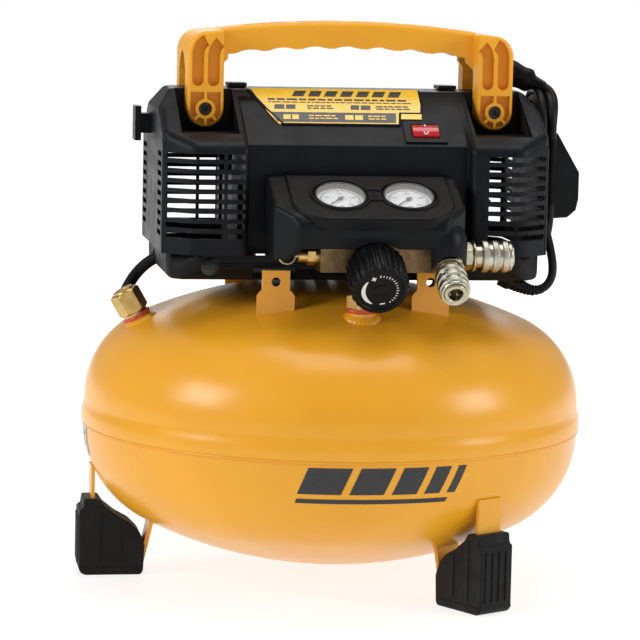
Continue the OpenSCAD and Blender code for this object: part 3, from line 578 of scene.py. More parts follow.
# ---------------------------------------------------------------- camera
def add_camera():
    data = bpy.data.cameras.new("camera")
    data.lens, data.sensor_width = 165.0, 36.0
    camera = linked("camera", data)
    ahead = Vector((0.1597, 0.9795, -0.1227)).normalized()
    right = ahead.cross(Vector((0, 0, 1))).normalized()
    up = right.cross(ahead)
    roll = math.radians(1.25)
    right, up = (right * math.cos(roll) + up * math.sin(roll), up * math.cos(roll) - right * math.sin(roll))
    camera.matrix_world = Matrix.Translation((-0.3961, -2.3671, 0.505)) @ Matrix(
        (right, up, -ahead)).transposed().to_4x4()
    scene.camera = camera


add_camera()

# ---------------------------------------------------------------- power cord
CORD_D = 7.0
LEAD = [(141.4, -64, 245.2), (148, -65, 242.4), (154, -65.5, 241.3), (160.5, -65.2, 242.6),
        (166, -63.8, 246.6), (169.6, -61.2, 253), (170.8, -57.5, 261), (170.6, -52.5, 269.5),
        (169.8, -47, 278), (168.6, -41.5, 286.5), (167.2, -36.8, 295.3)]
COIL_Z, COIL_HALF = 336.0, 31.5
TURNS = [(33.5, 165.6), (26.1, 165.6), (26.1, 173.0), (33.5, 173.0)]  # radius and x of each turn
WOUND, COIL_STEPS, SHIFT_FROM = 4.187, 210, 0.78  # turns in the coil; the last part of a turn moves to the next
NECK_END, NECK_DIRECTION = Vector((168.9, -10.6, 403.9)), Vector((0.8503, -0.4001, -0.3420))


def coil_point(t):
    """A point of the winding, t turns after its lower front corner."""
    turn = min(int(t), len(TURNS) - 1)
    r, x = TURNS[turn]
    left = t - int(t)
    if left > SHIFT_FROM and turn + 1 < len(TURNS):
        s = (left - SHIFT_FROM) / (1 - SHIFT_FROM)
        s = s * s * (3 - 2 * s)
        r += (TURNS[turn + 1][0] - r) * s
        x += (TURNS[turn + 1][1] - x) * s
    straight, arc = 2 * COIL_HALF, math.pi * r
    d = left * 2 * (straight + arc)
    if d < straight:
        return Vector((x, -r, COIL_Z - COIL_HALF + d))
    d -= straight
    if d < arc:
        a = math.pi - d / r
        return Vector((x, r * math.cos(a), COIL_Z + COIL_HALF + r * math.sin(a)))
    d -= arc
    if d < straight:
        return Vector((x, r, COIL_Z + COIL_HALF - d))
    a = -(d - straight) / r
    return Vector((x, r * math.cos(a), COIL_Z - COIL_HALF + r * math.sin(a)))


def cord_path():
    """Points of the lead, the coil and the neck that runs to the plug."""
    coil = [coil_point(WOUND * k / COIL_STEPS) for k in range(COIL_STEPS + 1)]
    lead = smooth_path(LEAD + [tuple(coil[0]), tuple(coil[1])], 3)[:-4]
    a, b = coil[-1], NECK_END
    ta, tb = Vector((0, 0, 1)) * 52, -NECK_DIRECTION * 46
    tail = []
    for k in range(1, 15):
        t = k / 14
        tail.append((2 * t**3 - 3 * t**2 + 1) * a + (t**3 - 2 * t**2 + t) * ta
                    + (3 * t**2 - 2 * t**3) * b + (t**3 - t**2) * tb)
    return lead + coil + tail


def add_cord():
    path = cord_path()
    curve = bpy.data.curves.new("power_cord", "CURVE")
    curve.dimensions = "3D"
    curve.bevel_depth = CORD_D / 2 * MM
    curve.bevel_resolution = 5
    curve.use_fill_caps = True
    spline = curve.splines.new("POLY")
    spline.points.add(len(path) - 1)
    for point, p in zip(spline.points, path):
        point.co = (*(p * MM), 1)
    spline.use_smooth = True
    curve.materials.append(JACKET)
    cord = linked("power_cord", curve)
    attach(cord, "frame")
    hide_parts("cord_leads", "cord_winding")

    # moulded plug: a grip that is waisted for the fingers, a ribbed neck and two blades
    def grip(s, a):
        wide, flat = s[0], s[0] * 0.74
        return wide * flat / math.hypot(flat * math.cos(a), wide * math.sin(a)) * (
            1 + 0.05 * math.cos(2 * a) ** 6)
    grip_line = [(0, 0), (9.2, 0), (10.3, 0.8), (10.5, 3), (10.4, 7), (9.3, 12), (8.9, 16), (9.4, 20),
                 (9.0, 22.5), (7.2, 24.5), (6.2, 25.5)]
    neck = []
    for k in range(5):
        z = 26 + 2.0 * k
        neck += [(5.9 - 0.35 * k, z), (5.9 - 0.35 * k, z + 1.1), (4.7 - 0.2 * k, z + 1.3), (4.7 - 0.2 * k, z + 1.8)]
    body = piece("plug_grip", rings(grip_line + neck + [(3.7, 36.5), (0, 36.5)],
                                    lambda s, a: grip(s, a) if s[1] < 25 else s[0], 64),
                 BLACK, at=PLUG, sharp=50, replaces=("cord_plug",))
    blades = []
    for y in (-6.3, 6.3):
        blades.append(moved(prism(fillet([(-3, 1), (-3, -14.6), (-1.6, -16), (1.6, -16), (3, -14.6), (3, 1)],
                                         0.6), -0.8, 0.8), place(0, y, 0, ("X", 90))))
    prongs = piece("plug_blades", joined(*blades), BRASS, at=PLUG)
    # strain relief that tapers onto the cord
    route = [Vector((127, -62, 252)) + Vector((0.8975, -0.1261, -0.4226)) * d for d in (0, 4, 8, 12, 15)]
    route += smooth_path(LEAD[:5], 4)[1:13]

    def taper(t):
        if t < 0.24:
            return 7.5
        ridge = 0.55 if int(t * 26) % 2 else 0.0
        return max(3.75, 6.9 - 3.3 * (t - 0.24) / 0.76 - ridge)
    relief = piece("cord_strain_relief", tube(smooth_path([tuple(p) for p in route], 3), taper, 28), BLACK,
                   sharp=60, replaces=("cord_gland",))


add_cord()


# ---------------------------------------------------------------- tank and feet
def shell_profile(r, knuckle, height):
    """(radius, height above the seam) from the seam to the pole."""
    c = crown_radius(r, knuckle, height)
    cz = FLANGE + height - c
    meet = math.degrees(math.atan2(FLANGE - cz, r - knuckle))
    line = [(r, 0), (r, 6), (r, FLANGE - 2)]
    line += arc_line(r - knuckle, FLANGE, knuckle, 0, meet, 18)
    line += arc_line(0, cz, c, meet, 90, 26)[1:]
    line[-1] = (0, FLANGE + height)
    return line


def add_tank():
    for name, knuckle, height, sign in (("upper", UPPER_KNUCKLE, UPPER_CROWN, 1),
                                        ("lower", LOWER_KNUCKLE, LOWER_CROWN, -1)):
        outer = shell_profile(TANK_R, knuckle, height)
        inner = shell_profile(TANK_R - TANK_WALL, knuckle - TANK_WALL, height - TANK_WALL)
        outside = [(r, SEAM_Z + sign * z) for r, z in outer]
        inside = [(r, SEAM_Z + sign * z) for r, z in inner]
        if name == "upper":  # the upper shell is swaged out over the lower one
            lip = [(TANK_R + 0.1, 125.0), (TANK_R + 1.5, 124.9), (TANK_R + 2.2, 125.7), (TANK_R + 2.25, 129),
                   (TANK_R + 2.1, 133.5), (TANK_R + 1.3, 137), (TANK_R + 0.35, 140)]
            outside = lip + [p for p in outside if p[1] > 141]
        n = 288
        points, faces = lathe(outside + inside[::-1], n)
        end = len(points) - n  # the rim closes the wall between the outside and the inside
        faces += [(k, end + k, end + (k + 1) % n, (k + 1) % n) for k in range(n)]
        piece(f"tank_{name}_shell", (points, faces), YELLOW, sharp=60, replaces=(f"tank_{name}",))
    # weld bead under the lip, a row of overlapping ripples
    bead = rings([(203.1, 123.2), (203.9, 123.0), (204.5, 123.6), (204.6, 124.5), (203.9, 125.2), (203.1, 125.2)],
                 lambda s, a: s[0] + (0.22 * abs(math.sin(a * 170)) if s[0] > 203.5 else 0), 1020, loop=True)
    piece("seam_weld", bead, YELLOW, sharp=70)
    # weld fillets round the bungs
    for name, m, r in (("riser", place(3.6, -120, upper_height(120)), 11), ("check", CHECK, 11)):
        line = [(r - 0.5, -3), (r + 4.2, -3), (r + 3.6, 0.2), (r + 2.0, 1.5), (r + 0.6, 3.2), (r - 0.5, 3.6)]
        lean = m if name == "check" else m @ place(0, 0, 0, ("X", 17))
        piece(f"{name}_bung_weld", rings(line, lambda s, a: s[0] + 0.18 * math.sin(a * 26) * (s[0] > 11.5), 130,
                                         loop=True), YELLOW, at=lean, sharp=60)


add_tank()


def add_feet():
    outline = [(157, 0), (203, 0), (206.5, 2), (208, 6), (208, 54), (205, 55), (204, 63), (191, 63),
               (187, 57), (177, 49), (166, 43), (158, 35), (154, 24), (155, 3)]
    half = 16.5
    for name, angle in FEET.items():
        turn = place(0, 0, 0, ("Z", angle), ("X", 90))
        boot = piece(f"boot_{name}_shoe", prism(outline, -half, half), RUBBER, at=turn,
                     replaces=(f"boot_{name}",))
        soften(boot, 2.2, 3, 25)
        ribs = [prism(fillet([(207.4, 9), (209.0, 10.4), (209.0, 49), (207.4, 51)], 0.6), z - 1.7, z + 1.7)
                for z in (-10.5, -3.5, 3.5, 10.5)]
        for rib, rise in (([(160, 3.6), (206.6, 3.6), (207.2, 6.4), (159.4, 6.4)], 0.7),
                          ([(173.5, 10), (176.5, 10), (176.5, 45), (173.5, 42.5)], 0.8),
                          ([(190.5, 10), (193.5, 10), (193.5, 58), (190.5, 56)], 0.8)):
            ribs += [prism(rib, side * half - rise, side * half + rise) for side in (-1, 1)]
        soften(piece(f"boot_{name}_ribs", joined(*ribs), RUBBER, at=turn), 0.5, 2, 25)


add_feet()


def tank_patch(corners, rise=0.3, steps=24):
    """A thin plate on the tank's side. corners are four (arc length in mm, height) pairs from the front."""
    (x0, z0), (x1, z1), (x2, z2), (x3, z3) = corners
    points, faces = [], []
    rows = 10
    for layer in (0.02, rise):
        for j in range(rows + 1):
            v = j / rows
            for i in range(steps + 1):
                u = i / steps
                x = (x0 + (x1 - x0) * u) * (1 - v) + (x3 + (x2 - x3) * u) * v
                z = (z0 + (z1 - z0) * u) * (1 - v) + (z3 + (z2 - z3) * u) * v
                r = lower_radius(z) + layer
                a = x / TANK_R - math.pi / 2
                points.append((r * math.cos(a), r * math.sin(a), z))
    w, h = steps + 1, rows + 1
    base = w * h
    for j in range(rows):
        for i in range(steps):
            k = j * w + i
            faces.append((k, k + w, k + w + 1, k + 1))
            faces.append((base + k, base + k + 1, base + k + w + 1, base + k + w))
    edge = (list(range(w)) + [j * w + steps for j in range(1, h)]
            + [rows * w + i for i in range(steps - 1, -1, -1)] + [j * w for j in range(rows - 1, 0, -1)])
    for k, i in enumerate(edge):
        j = edge[(k + 1) % len(edge)]
        faces.append((i, j, base + j, base + i))
    return points, faces


def add_decal():
    """Five plain leaning bars and an underline, in the place of the printed mark."""
    bars, x = [], -58.0
    for width in (34, 27, 20, 13, 7):
        bars.append(tank_patch([(x, 99), (x + width, 99), (x + width + 9, 120), (x + 9, 120)]))
        x += width + 6.5
    bars.append(tank_patch([(-60, 91.5), (62, 91.5), (63.5, 95), (-58.5, 95)]))
    piece("tank_stripes", joined(*bars), DECAL, sharp=50)


def add_data_plate():
    """Small metal plate at the tank's cord-free end, with blank rows."""
    middle = -1.62 * TANK_R
    plate = tank_patch([(middle - 24, 99), (middle + 24, 99), (middle + 24, 131), (middle - 24, 131)], 0.7)
    piece("data_plate", plate, PLATE_GREY, sharp=40)
    rows = [tank_patch([(middle - 20, z), (middle - 20 + w, z), (middle - 20 + w, z + 1.4), (middle - 20, z + 1.4)],
                       0.85, 12) for z, w in ((104, 26), (108, 38), (112, 30), (116, 38), (120, 22), (125, 36))]
    piece("data_plate_rows", joined(*rows), DECAL, sharp=50)


add_decal()
add_data_plate()


# ---------------------------------------------------------------- gauges
DIAL_RISE = 3.2  # how far the dial sits above the bottom of the case, to lie just under the glass
FACE, PRINT = -4.95, -4.89  # heights of the dial's face and of the printing on it


def add_gauge(name, at):
    body = f"{name}_needle"
    case = [(0, -22), (4.6, -22), (5, -21.4), (5, -16.2), (17.8, -16), (18.5, -15.3), (18.5, -3), (20.6, -3),
            (21.4, -2.2), (21.6, -0.6), (21.5, 1.2), (21.0, 2.4), (20.2, 3.0), (19.7, 2.9), (19.3, 2.5),
            (19.2, 0.9), (18.7, 0.8), (18.7, -6), (0, -6)]
    piece(f"gauge_{name}_case", lathe(case, 96), BEZEL, at=at, replaces=(f"gauge_case_{name}",))
    at_dial = at @ place(0, 0, DIAL_RISE)
    dial = [(0, -9), (18.4, -9), (18.6, -5.1), (18.3, -4.95), (1.4, -4.95), (0.75, -4.8), (0.7, -3.85), (0, -3.8)]
    piece(f"gauge_{name}_dial", lathe(dial, 96), DIAL, at=at_dial, replaces=(f"gauge_dial_{name}",))
    ink, fine = [], []
    for k in range(41):
        inner, half = (12.6, 0.30) if k % 10 == 0 else (13.6, 0.2) if k % 5 == 0 else (14.3, 0.12)
        ink.append(moved(block(inner, -half, FACE, 15.6, half, -4.88), place(0, 0, 0, ("Z", 225 - k * 270 / 40))))
    for k in range(28):
        tick = block(7.6, -0.1, FACE, 8.5 if k % 7 else 9.0, 0.1, PRINT)
        fine.append(moved(tick, place(0, 0, 0, ("Z", 225 - k * 10))))
    for k in range(5):
        ink.append(moved(numeral(str(50 * k), 3.1), place(*polar(10.6, 225 - k * 67.5), -4.92)))
    arc = ((15.6, FACE), (15.95, FACE), (15.95, PRINT), (15.6, PRINT))
    ink.append(strip([[(*polar(r, 225 - k * 4.5), z) for r, z in arc] for k in range(61)]))
    for w, y in ((4.6, -9.6), (3.2, -11.0)):
        ink.append(block(-w / 2, y, FACE, w / 2, y + 0.5, PRINT))
    piece(f"gauge_{name}_scale", joined(*ink), INK, at=at_dial)
    piece(f"gauge_{name}_fine_scale", joined(*fine), RED_INK, at=at_dial)
    outline = fillet([(-4.2, -1.0), (-4.2, 1.0), (0, 0.62), (12.4, 0.34), (13.8, 0), (12.4, -0.34), (0, -0.62),
                      (-4.2, -1.0)], 0.2)[:-1]
    needle = joined(moved(prism(outline, -4.0, -3.6), place(0, 0, 0, ("Z", 225))),
                    lathe([(0, -4.2), (1.9, -4.2), (2.0, -4.0), (2.0, -3.1), (1.7, -2.8), (0, -2.75)], 36))
    piece(f"gauge_{name}_pointer", needle, INK, body=body, at=at_dial, replaces=(f"gauge_needle_{name}",))


for gauge, gauge_x in GAUGE_X.items():
    add_gauge(gauge, PANEL @ place(gauge_x, 0, 0))


# ---------------------------------------------------------------- regulator knob
def add_knob():
    at = KNOB
    line = [(9, 12), (20.6, 12), (21.6, 12.5), (22, 14), (22, 18), (22, 24), (22, 30), (22, 36), (22, 40), (21.8, 42),
            (21.2, 43.8), (19.9, 44.9), (18.6, 45), (17.9, 44.6), (17.5, 43.7), (17.2, 43.4), (9, 43.6), (0, 43.7)]

    def shape(s, a):
        r, z = s[0], s[1]
        if not 12.6 < z < 43 or r < 21:
            return r
        phase = (a * 24 / TAU) % 1.0
        off = min(phase, 1 - phase)
        ridge = max(0.0, 1 - (off / 0.30) ** 4) if off < 0.30 else 0.0
        fade = min(1.0, (z - 12.6) / 1.5, (43 - z) / 2.5)
        return r - 0.6 + fade * 1.7 * ridge
    part = rings([(0, 30), (6.1, 30), (6.1, 12.4), (6.4, 12)] + line, shape, 432)
    piece("regulator_grip", part, BLACK, body="regulator_knob", at=at, sharp=42, replaces=("regulator_knob",))
    low, top, ring = 43.3, 43.72, 13.4  # heights and radius of the printed marks
    rows = []
    for k in range(31):  # a crescent that swells from its ends
        fat = 0.25 + 1.35 * math.sin(math.pi * k / 30) ** 0.7
        rows.append([(*polar(r, 142 + 104 * k / 30), z)
                     for r, z in ((ring - fat, low), (ring + fat, low), (ring + fat, top), (ring - fat, top))])
    marks = [strip(rows)]
    for k in range(15):  # plain ticks on the other side
        a = 96 - k * 10.5
        long = 1.5 if k % 3 else 2.1
        marks.append(moved(block(-0.32, -long / 2, low, 0.32, long / 2, top), place(*polar(ring, a), 0, ("Z", a - 90))))
    for a, upright in ((120, True), (-78, False)):  # a plus and a minus
        spot = place(*polar(12.6, a), 0, ("Z", a - 90))
        marks.append(moved(block(-2.0, -0.5, low, 2.0, 0.5, top), spot))
        if upright:
            marks.append(moved(block(-0.5, -2.0, low, 0.5, 2.0, 43.74), spot))
    piece("regulator_marks", joined(*marks), WHITE_PRINT, body="regulator_knob", at=at)
    cap = [(0, 43.5), (5.2, 43.5), (5.2, 44.3), (4.7, 44.7), (0, 44.8)]
    piece("regulator_cap", lathe(cap, 48), BLACK, body="regulator_knob", at=at)


add_knob()


# ---------------------------------------------------------------- quick couplers
def add_coupler(name, at, body):
    tail = ([(0, 22), (5.6, 22), (5.6, 46.4), (6.2, 47), (8.4, 47), (9, 46.4), (9, 45), (8.3, 44.6), (8.3, 43.6),
             (9, 43.2), (8.98, 24), (8.98, 16.3), (9.2, 16.1), (11.5, 16.0), (11.9, 15.6), (12, 14.6), (11.6, 14.2)]
            + [(r, z, af) for r, z, af in reversed(hexagon(19, 6, 14, 1.2))]
            + [(8, 5.8), (8, 1.2), (7.5, 0.3), (0, 0.3)])
    piece(f"coupler_{name}_body", turned(tail, 120), PLATED, at=at, sharp=30, replaces=(f"coupler_{name}",))
    stations = []
    for z in (21.5, 29.5, 37.5):
        stations += [(11.0, z), (12.1, z + 0.25), (12.3, z + 0.6)]
        stations += [(12.5, z + 0.6 + 3.8 * k / 12) for k in range(1, 12)]
        stations += [(12.3, z + 4.4), (12.1, z + 4.75), (11.0, z + 5)]
        if z < 37:
            stations += [(10.9, z + 5.4), (10.9, z + 7.6)]
    stations += [(11.3, 42.9), (11.5, 44.6), (11.0, 45.4), (9.6, 45.5), (9.08, 45.1), (9.06, 30), (9.06, 21.9),
                 (9.5, 21.5)]

    def knurl(s, a):
        if s[0] < 12.45:
            return s[0]
        return s[0] - 0.26 * (1 - abs(math.sin(a * 30 + s[1] * 1.6)) * abs(math.sin(a * 30 - s[1] * 1.6)))
    piece(f"sleeve_{name}_knurled", rings(stations, knurl, 360, loop=True), SLEEVE, body=body, at=at, sharp=48,
          replaces=(f"sleeve_{name}",))
    ball = lathe([(0, -1.5), (0.9, -1.2), (1.4, -0.5), (1.4, 0.5), (0.9, 1.2), (0, 1.5)], 16)
    balls = [moved(ball, place(*polar(5.5, 60 * k), 39)) for k in range(6)]
    piece(f"coupler_{name}_balls", joined(*balls), MACHINED, at=at)


add_coupler("front", FRONT_COUPLER, "front_sleeve")
add_coupler("side", SIDE_COUPLER, "side_sleeve")


# ---------------------------------------------------------------- pipework
def add_pipework():
    valve = ([(0, -4), (8, -4), (8, 5.9), (10, 6.1), (10, 8.9)] + hexagon(22, 9, 28, 1.6)
             + [(9.2, 28.1), (8.6, 28.8), (8.5, 29.6), (8.0, 30), (4.2, 30), (3.8, 29.2), (0, 29)])
    piece("check_valve_body", turned(valve, 120), BRASS, at=CHECK, sharp=30, replaces=("check_valve",))
    ring = [(9.6, 4.4), (11.6, 4.6), (12.0, 5.6), (11.4, 6.9), (10.1, 7.3), (9.6, 6.6)]
    uneven = rings(ring, lambda s, a: s[0] + 0.25 * math.sin(a * 5 + s[1]) + 0.15 * math.sin(a * 13), 90, loop=True)
    piece("check_valve_sealant", uneven, SEALANT, at=CHECK, sharp=60)
    tube_points = [(-171, -1, 227.5), (-171, 4, 227.5), (-170, 12, 230), (-166, 20, 236), (-160, 24, 244),
                   (-152, 24, 252), (-143, 22, 258), (-134, 20, 263), (-126, 18, 270), (-122, 16, 279), (-121, 15, 290)]
    piece("delivery_tube", tube(smooth_path(tube_points, 6), 4.7, 28), HOSE, sharp=60, replaces=("outlet_tube",))
    nut_at = place(-171, -2.5, 227.5, ("X", -90))
    nut = [(0, -3)] + hexagon(13.5, -3, 5, 0.9) + [(5.6, 5.1), (5.4, 7.4), (4.9, 8), (0, 8)]
    piece("delivery_tube_nut", turned(nut, 96), BRASS, at=nut_at, sharp=30)
    top = upper_height(120)
    riser_at = place(3.6, -120, 0)
    riser = ([(4, top - 4), (8, top - 4), (8, top + 6)] + hexagon(22, top + 6, top + 18, 1.4)
             + [(8.4, top + 18.1), (8, top + 18.6), (8, 262), (4, 262)])
    piece("riser_nipple", turned(riser, 120, loop=True), BRASS, at=riser_at, sharp=30, replaces=("riser_pipe",))
    ring = [(8.1, top + 3.2), (11.0, top + 3.4), (12.4, top + 4.4), (12.6, top + 6.0), (11.6, top + 7.6),
            (8.1, top + 7.8)]
    uneven = rings(ring, lambda s, a: s[0] + 0.3 * math.sin(a * 4 + s[1]) + 0.2 * math.sin(a * 11), 96, loop=True)
    piece("riser_sealant", uneven, SEALANT, at=riser_at, sharp=60)
    wrap = ([(8.05, top + 18.8)] + [(9.0 + 0.25 * math.sin(k * 2.1), top + 19 + k * 0.6) for k in range(13)]
            + [(8.05, top + 27.4)])
    uneven = rings(wrap, lambda s, a: s[0] + (0.18 * math.sin(a * 3 + s[1] * 2) if s[0] > 8.3 else 0), 72, loop=True)
    piece("riser_thread_tape", uneven, TAPE, at=riser_at, sharp=60)


add_pipework()


# ---------------------------------------------------------------- console
def add_console():
    """Moulded hood: rounded block, U-shaped pod round the gauges, a boss over the coupler, two arches."""
    side = [(-78.4, 332), (-90, 334), (-148, 308.2), (-153.5, 301), (-153.8, 294), (-149, 279), (-141, 272),
            (-108, 272), (-78.4, 288)]
    plan = [(-50, -156), (62, -156), (82, -133), (82, -78.4), (-70, -78.4), (-70, -133)]
    hood = pillow((along_x(side, -70, 82), prism(plan, 200, 400)), 8.0, 6, 16)
    hood.name = hood.data.name = "console_hood"
    boss = [(0, 258), (17.6, 258), (18.4, 284), (17.6, 292), (14.8, 298), (9.5, 301.5), (0, 303)]
    carve(hood, lathe(boss, 64), "UNION", place(64.0, -137.0, 0))
    # pod: rounded U seen square to the panel
    u = ([(-56, 33), (-56, -9)] + arc_line(-27, -9, 29, 180, 270, 12)[1:] + arc_line(44, -9, 29, 270, 360, 12)[:-1]
         + [(73, -9), (73, 33)])
    pod = pillow((prism(u, -24, 2.6),), 2.4, 5, 50)
    pod.data.transform(PANEL)
    pod.name = pod.data.name = "console_pod"
    well = lathe([(0, -30), (21.75, -30), (21.75, 12), (0, 12)], 96)
    for o in (hood, pod):
        for x in GAUGE_X.values():
            carve(o, well, at=PANEL @ place(x, 0, 0))
        for x, r, z in ((9, 31, 256), (67, 15.5, 262)):
            carve(o, lathe([(0, 0), (r, 0), (r, 62), (0, 62)], 96), at=place(x, -170, z, ("X", -90)))
    carve(hood, prism([(-67, -134), (-50, -150), (62, -150), (78.5, -132), (78.5, -74), (-67, -74)], 250, 297))
    carve(hood, block(69, -139, 255, 90, -104, 287))
    for o, replaced in ((hood, ("console",)), (pod, ())):
        soften(dress(o, CONSOLE, "frame", 38, replaced), 0.8, 3, 38, dissolve=True)
    # collar: a figure of eight that stands round both bezels
    r, rise = 23.15, 8.0
    cut = math.degrees(math.asin(rise / r))
    path = (arc_line(GAUGE_X["tank"], 0, r, cut, 360 - cut, 56)
            + arc_line(GAUGE_X["line"], 0, r, 180 + cut, 540 - cut, 56))
    section = [(1.38 * math.copysign(abs(math.cos(a)) ** 0.6, math.cos(a)),
                1.2 + 3.0 * math.copysign(abs(math.sin(a)) ** 0.6, math.sin(a)))
               for a in (TAU * k / 16 for k in range(16))]
    points, faces, n, m = [], [], len(path), len(section)
    for i, (x, y) in enumerate(path):
        ax, ay = path[(i + 1) % n][0] - path[i - 1][0], path[(i + 1) % n][1] - path[i - 1][1]
        size = math.hypot(ax, ay)
        points += [(x + ay / size * v, y - ax / size * v, w) for v, w in section]
    for i in range(n):
        j = (i + 1) % n
        faces += [(m * i + k, m * i + (k + 1) % m, m * j + (k + 1) % m, m * j + k) for k in range(m)]
    piece("console_collar", (points, faces), CONSOLE, at=PANEL, sharp=60)
    ledge = joined(block(8.4, -2.2, 1.8, 13.6, 2.2, 3.2), block(9.6, 4.6, 1.8, 12.4, 6.0, 3.0))
    soften(piece("console_ledge", ledge, CONSOLE, at=PANEL), 0.4, 2)


add_console()


# ---------------------------------------------------------------- label and switch
def add_label():
    """Plain bars in the place of the printed words."""
    rng = random.Random(11)
    ink = []

    def row(x0, x1, y, h, lo, hi, gap=1.6, lean=0.0):
        x = x0
        while x < x1 - lo:
            w = min(rng.uniform(lo, hi), x1 - x)
            ink.append(slanted(x, y, w, h, lean, 0.0, 0.22))
            x += w + gap

    for k in range(7):
        ink.append(slanted(-42.0 + 13.0 * k, -9.6, 9.2, 6.8, 3.2, 0.0, 0.22))
    row(-62, 55, -14.6, 2.0, 3, 9)
    row(-62, 55, -17.6, 1.1, 2, 7, 1.0)
    row(-58, -34, -25.6, 5.4, 6, 8, 1.4, 0.8)
    row(-31, -8, -22.2, 1.5, 3, 6, 1.0)
    row(-31, -8, -25.2, 1.5, 3, 6, 1.0)
    row(4, 22, -25.6, 5.4, 6, 8, 1.4, 0.8)
    row(25, 54, -22.2, 1.5, 3, 6, 1.0)
    row(25, 54, -25.2, 1.5, 3, 6, 1.0)
    ink.append(prism([(-57, -41.6), (39, -41.6), (40.6, -29.6), (-61.5, -29.6)], 0.0, 0.2))
    piece("label_bars", joined(*ink), LABEL_INK, at=LABEL)
    ink.clear()
    row(-52, -34, -38.6, 5.6, 5, 8, 1.4, 0.6)
    row(-31, -8, -34.6, 1.3, 3, 6, 1.0)
    row(-31, -8, -38.0, 1.3, 3, 6, 1.0)
    row(-2, 14, -38.6, 5.6, 5, 8, 1.4, 0.6)
    row(17, 35, -34.6, 1.3, 3, 6, 1.0)
    row(17, 35, -38.0, 1.3, 3, 6, 1.0)
    lifted = joined(*ink)
    piece("label_light_bars", ([(x, y, z + 0.2) for x, y, z in lifted[0]], lifted[1]), LABEL_YELLOW, at=LABEL)
    rim = []
    edge = [(-77, -1.0), (-64, -25.5), (-52.6, -43.9), (41.6, -43.9), (43.9, -29.2), (61.2, -29.2), (63, -18),
            (63, -1.0)]
    for (x0, y0), (x1, y1) in zip(edge, edge[1:]):
        rim.append(tube([(x0, y0, -0.5), (x1, y1, -0.5)], 1.05, 16))
        rim.append(moved(lathe([(0, -1.05), (0.7, -0.8), (1.05, 0), (0.7, 0.8), (0, 1.05)], 16), place(x1, y1, -0.5)))
    piece("label_border", joined(*rim), SHROUD, at=LABEL, sharp=60)


add_label()


def add_switch_marks():
    bar = block(-0.45, 2.2, 3.6, 0.45, 5.4, 4.62)
    ring = lathe([(1.35, 3.6), (1.95, 3.6), (1.95, 4.6), (1.35, 4.6)], 32, loop=True)
    piece("rocker_marks", joined(moved(bar, place(0, 0, -0.55)), moved(ring, place(0, -3.9, -0.5))), WHITE_PRINT,
          body="rocker", at=SWITCH)


add_switch_marks()


# ---------------------------------------------------------------- finish of the CAD parts that stay
def shrunk(part, lift):
    """The part about a tenth of a millimetre smaller, so that no faces of two solids coincide."""
    points, faces = part
    return [((x - SHROUD_DX) * 0.999 + SHROUD_DX, y * 0.999, z + lift) for x, y, z in points], faces


def add_mouldings():
    """Shroud, pan and handle, with the soft corners of moulded plastic."""
    def end_view(y, eave):
        return [(0, 400), (-22, 398.5), (-y, eave), (-y, 245), (y, 245), (y, eave), (22, 398.5)]

    def shift(line):
        return [(x + SHROUD_DX, y) for x, y in line]
    plan = shift([(-156, -76), (-132, -96), (132, -96), (156, -76), (156, 76), (132, 96), (-132, 96), (-156, 76)])
    front = shift([(-156, 245), (-156, 384), (-144, 401), (144, 401), (156, 384), (156, 245)])
    limits = shrunk(prism(plan, 240, 410), 0), shrunk(along_y(front, -110, 110), -0.12)
    for node in ("shroud_front", "shroud_rear"):
        blocks = [pillow((shrunk(along_x(end_view(y, 357), x0, x1), -0.12), *limits), 6.0)
                  for y, x0, x1 in ((78, -154, 164), (96, -154, -83.6), (96, 93.6, 164))]
        moulding(node, SHROUD, blocks)
    tub = [(-93, 290), (-93, 262), (-82, 250), (82, 250), (93, 262), (93, 290)]
    floor_plan = [(-146, -72), (-126, -93), (136, -93), (156, -72), (156, 72), (136, 93), (-126, 93), (-146, 72)]
    moulding("base_pan", PAN, [pillow((shrunk(along_x(tub, -146, 156), 0.12),
                                       shrunk(prism(floor_plan, 240, 300), 0)), 6.0)], 0.4)
    # handle: a bar and two leg blocks that share the bowed top
    half, crown = 132.65, 454 - 0.12 - 822
    bow = [(822 * math.sin(math.radians(a)), crown + 822 * math.cos(math.radians(a)))
           for a in (0.72 * k for k in range(-10, 11))]
    bend = arc_line(115.65, 427.9, 17, 0, 90, 10)
    top = [(-x, z) for x, z in bend] + bow + bend[::-1]
    bar = pillow((along_y(shift([(-half, 380)] + top + [(half, 380)]), -19.9, 19.9),), 5.0, 5, 30)
    blocks = [bar]
    for side in (-1, 1):
        leg = arc_line(118, 383.1, 14.65, 180, 360, 20) + bend + [(x, z) for x, z in reversed(bow) if x > 103.4]
        x, z = leg[-1]
        leg.append((103.35, z + (x - 103.35) * 0.127))
        blocks.append(pillow((along_y(shift([(side * x, z) for x, z in leg]), -40.9, 40.9),), 3.0, 4, 30))
    moulding("handle", GRIP, blocks, 0.7, dissolve=True)


add_mouldings()

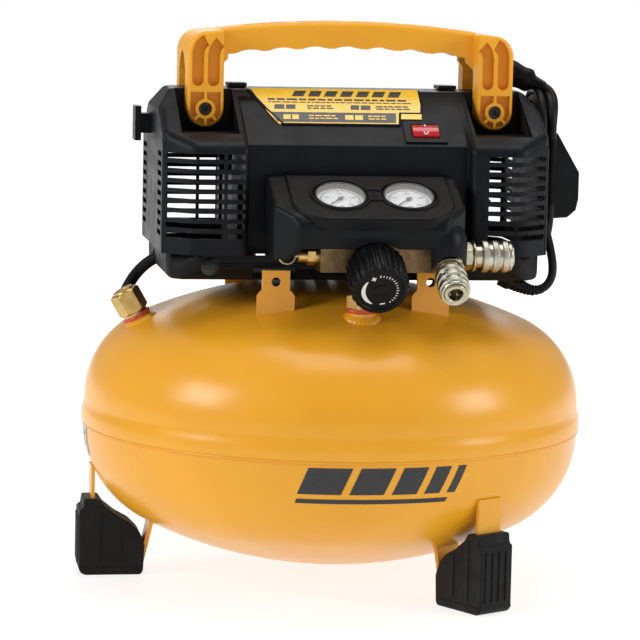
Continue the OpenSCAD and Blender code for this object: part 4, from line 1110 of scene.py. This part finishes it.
STAY = {
    YELLOW: (("tank_bungs", 0.8), ("strap_left", 0.7), ("strap_right", 0.7), ("strap_rear", 0.7), ("mount_tabs", 0.6)),
    CONSOLE: (("switch_bezel", 0.6), ("cord_wrap", 1.5), ("cord_hook", 2.6), ("ridge_pads", 0.9)),
    BLACK: (("regulator_body", 0.5), ("pressure_switch", 1.5)),
    RUBBER: (("isolators", 0.5),),
    BELT: (("drive_belt", 0.3),),
    BRASS: (("safety_valve", 0.3), ("drain_body", 0.3), ("drain_knob", 0.5)),
    PLATED: (("safety_ring", 0.1),),
    BRONZE: (("manifold", 1.2),),
    CAST: (("pump_body", 0.8), ("cylinder_head", 1.0), ("crank_wheel", 0.6)),
    MACHINED: (("connecting_rod", 0.4),),
    PTFE: (("piston", 0.5),),
    BOLT: (("handle_bolts", 0.35),),
    SHELL: (("motor_housing", 0.8), ("motor_bracket", 0.5)),
    COPPER: (("motor_rotor", 0.4),),
    LABEL_YELLOW: (("label_plate", 0.35),),
    RED: (("rocker", 0.7),),
    LENS: (("gauge_lens_tank", 0.3), ("gauge_lens_line", 0.3)),
}
for mat, parts in STAY.items():
    for node, width in parts:
        paint(nodes[node], mat)
        soften(nodes[node], width, 3 if width > 1 else 2, dissolve=True)


# ---------------------------------------------------------------- floor and lights
def add_studio():
    bm = bmesh.new()
    bmesh.ops.create_grid(bm, x_segments=4, y_segments=4, size=9.0)
    mesh = bpy.data.meshes.new("studio_floor")
    bm.to_mesh(mesh)
    bm.free()
    tree = FLOOR.node_tree
    glow = tree.nodes["Principled BSDF"]
    glow.inputs["Emission Color"].default_value = (1, 1, 1, 1)
    spot, length, far = (tree.nodes.new("ShaderNode" + kind) for kind in ("TexCoord", "VectorMath", "MapRange"))
    length.operation = "LENGTH"
    tree.links.new(spot.outputs["Object"], length.inputs[0])
    tree.links.new(length.outputs["Value"], far.inputs[0])
    for socket, v in zip(far.inputs[1:5], (0.32, 1.0, 0.80, 1.0)):
        socket.default_value = v
    tree.links.new(far.outputs[0], glow.inputs["Emission Strength"])
    mesh.materials.append(FLOOR)
    linked("studio_floor", mesh)
    world = bpy.data.worlds.new("studio")
    scene.world = world
    world.use_nodes = True
    tree = world.node_tree
    soft, seen = tree.nodes["Background"], tree.nodes.new("ShaderNodeBackground")
    soft.inputs["Color"].default_value = seen.inputs["Color"].default_value = (1, 1, 1, 1)
    soft.inputs["Strength"].default_value, seen.inputs["Strength"].default_value = 0.36, 1.0
    ray, mix = tree.nodes.new("ShaderNodeLightPath"), tree.nodes.new("ShaderNodeMixShader")
    tree.links.new(ray.outputs["Is Camera Ray"], mix.inputs[0])
    tree.links.new(soft.outputs[0], mix.inputs[1])
    tree.links.new(seen.outputs[0], mix.inputs[2])
    tree.links.new(mix.outputs[0], tree.nodes["World Output"].inputs["Surface"])
    for name, where, size, power in (("key", (-2.9, -0.9, 1.55), 1.2, 46), ("fill", (2.7, -1.4, 1.3), 1.1, 30),
                                     ("top", (0.2, 0.0, 2.6), 1.6, 26), ("back", (0.4, 2.6, 1.6), 1.6, 18)):
        light = bpy.data.lights.new(name, "AREA")
        light.shape = "SQUARE"
        light.size = size
        light.energy = power
        aim = (Vector((0, 0, 0.22)) - Vector(where)).normalized()
        linked(name, light).matrix_world = Matrix.Translation(where) @ aim.to_track_quat("-Z", "Y").to_matrix().to_4x4()
    scene.view_settings.view_transform = "Standard"


add_studio()
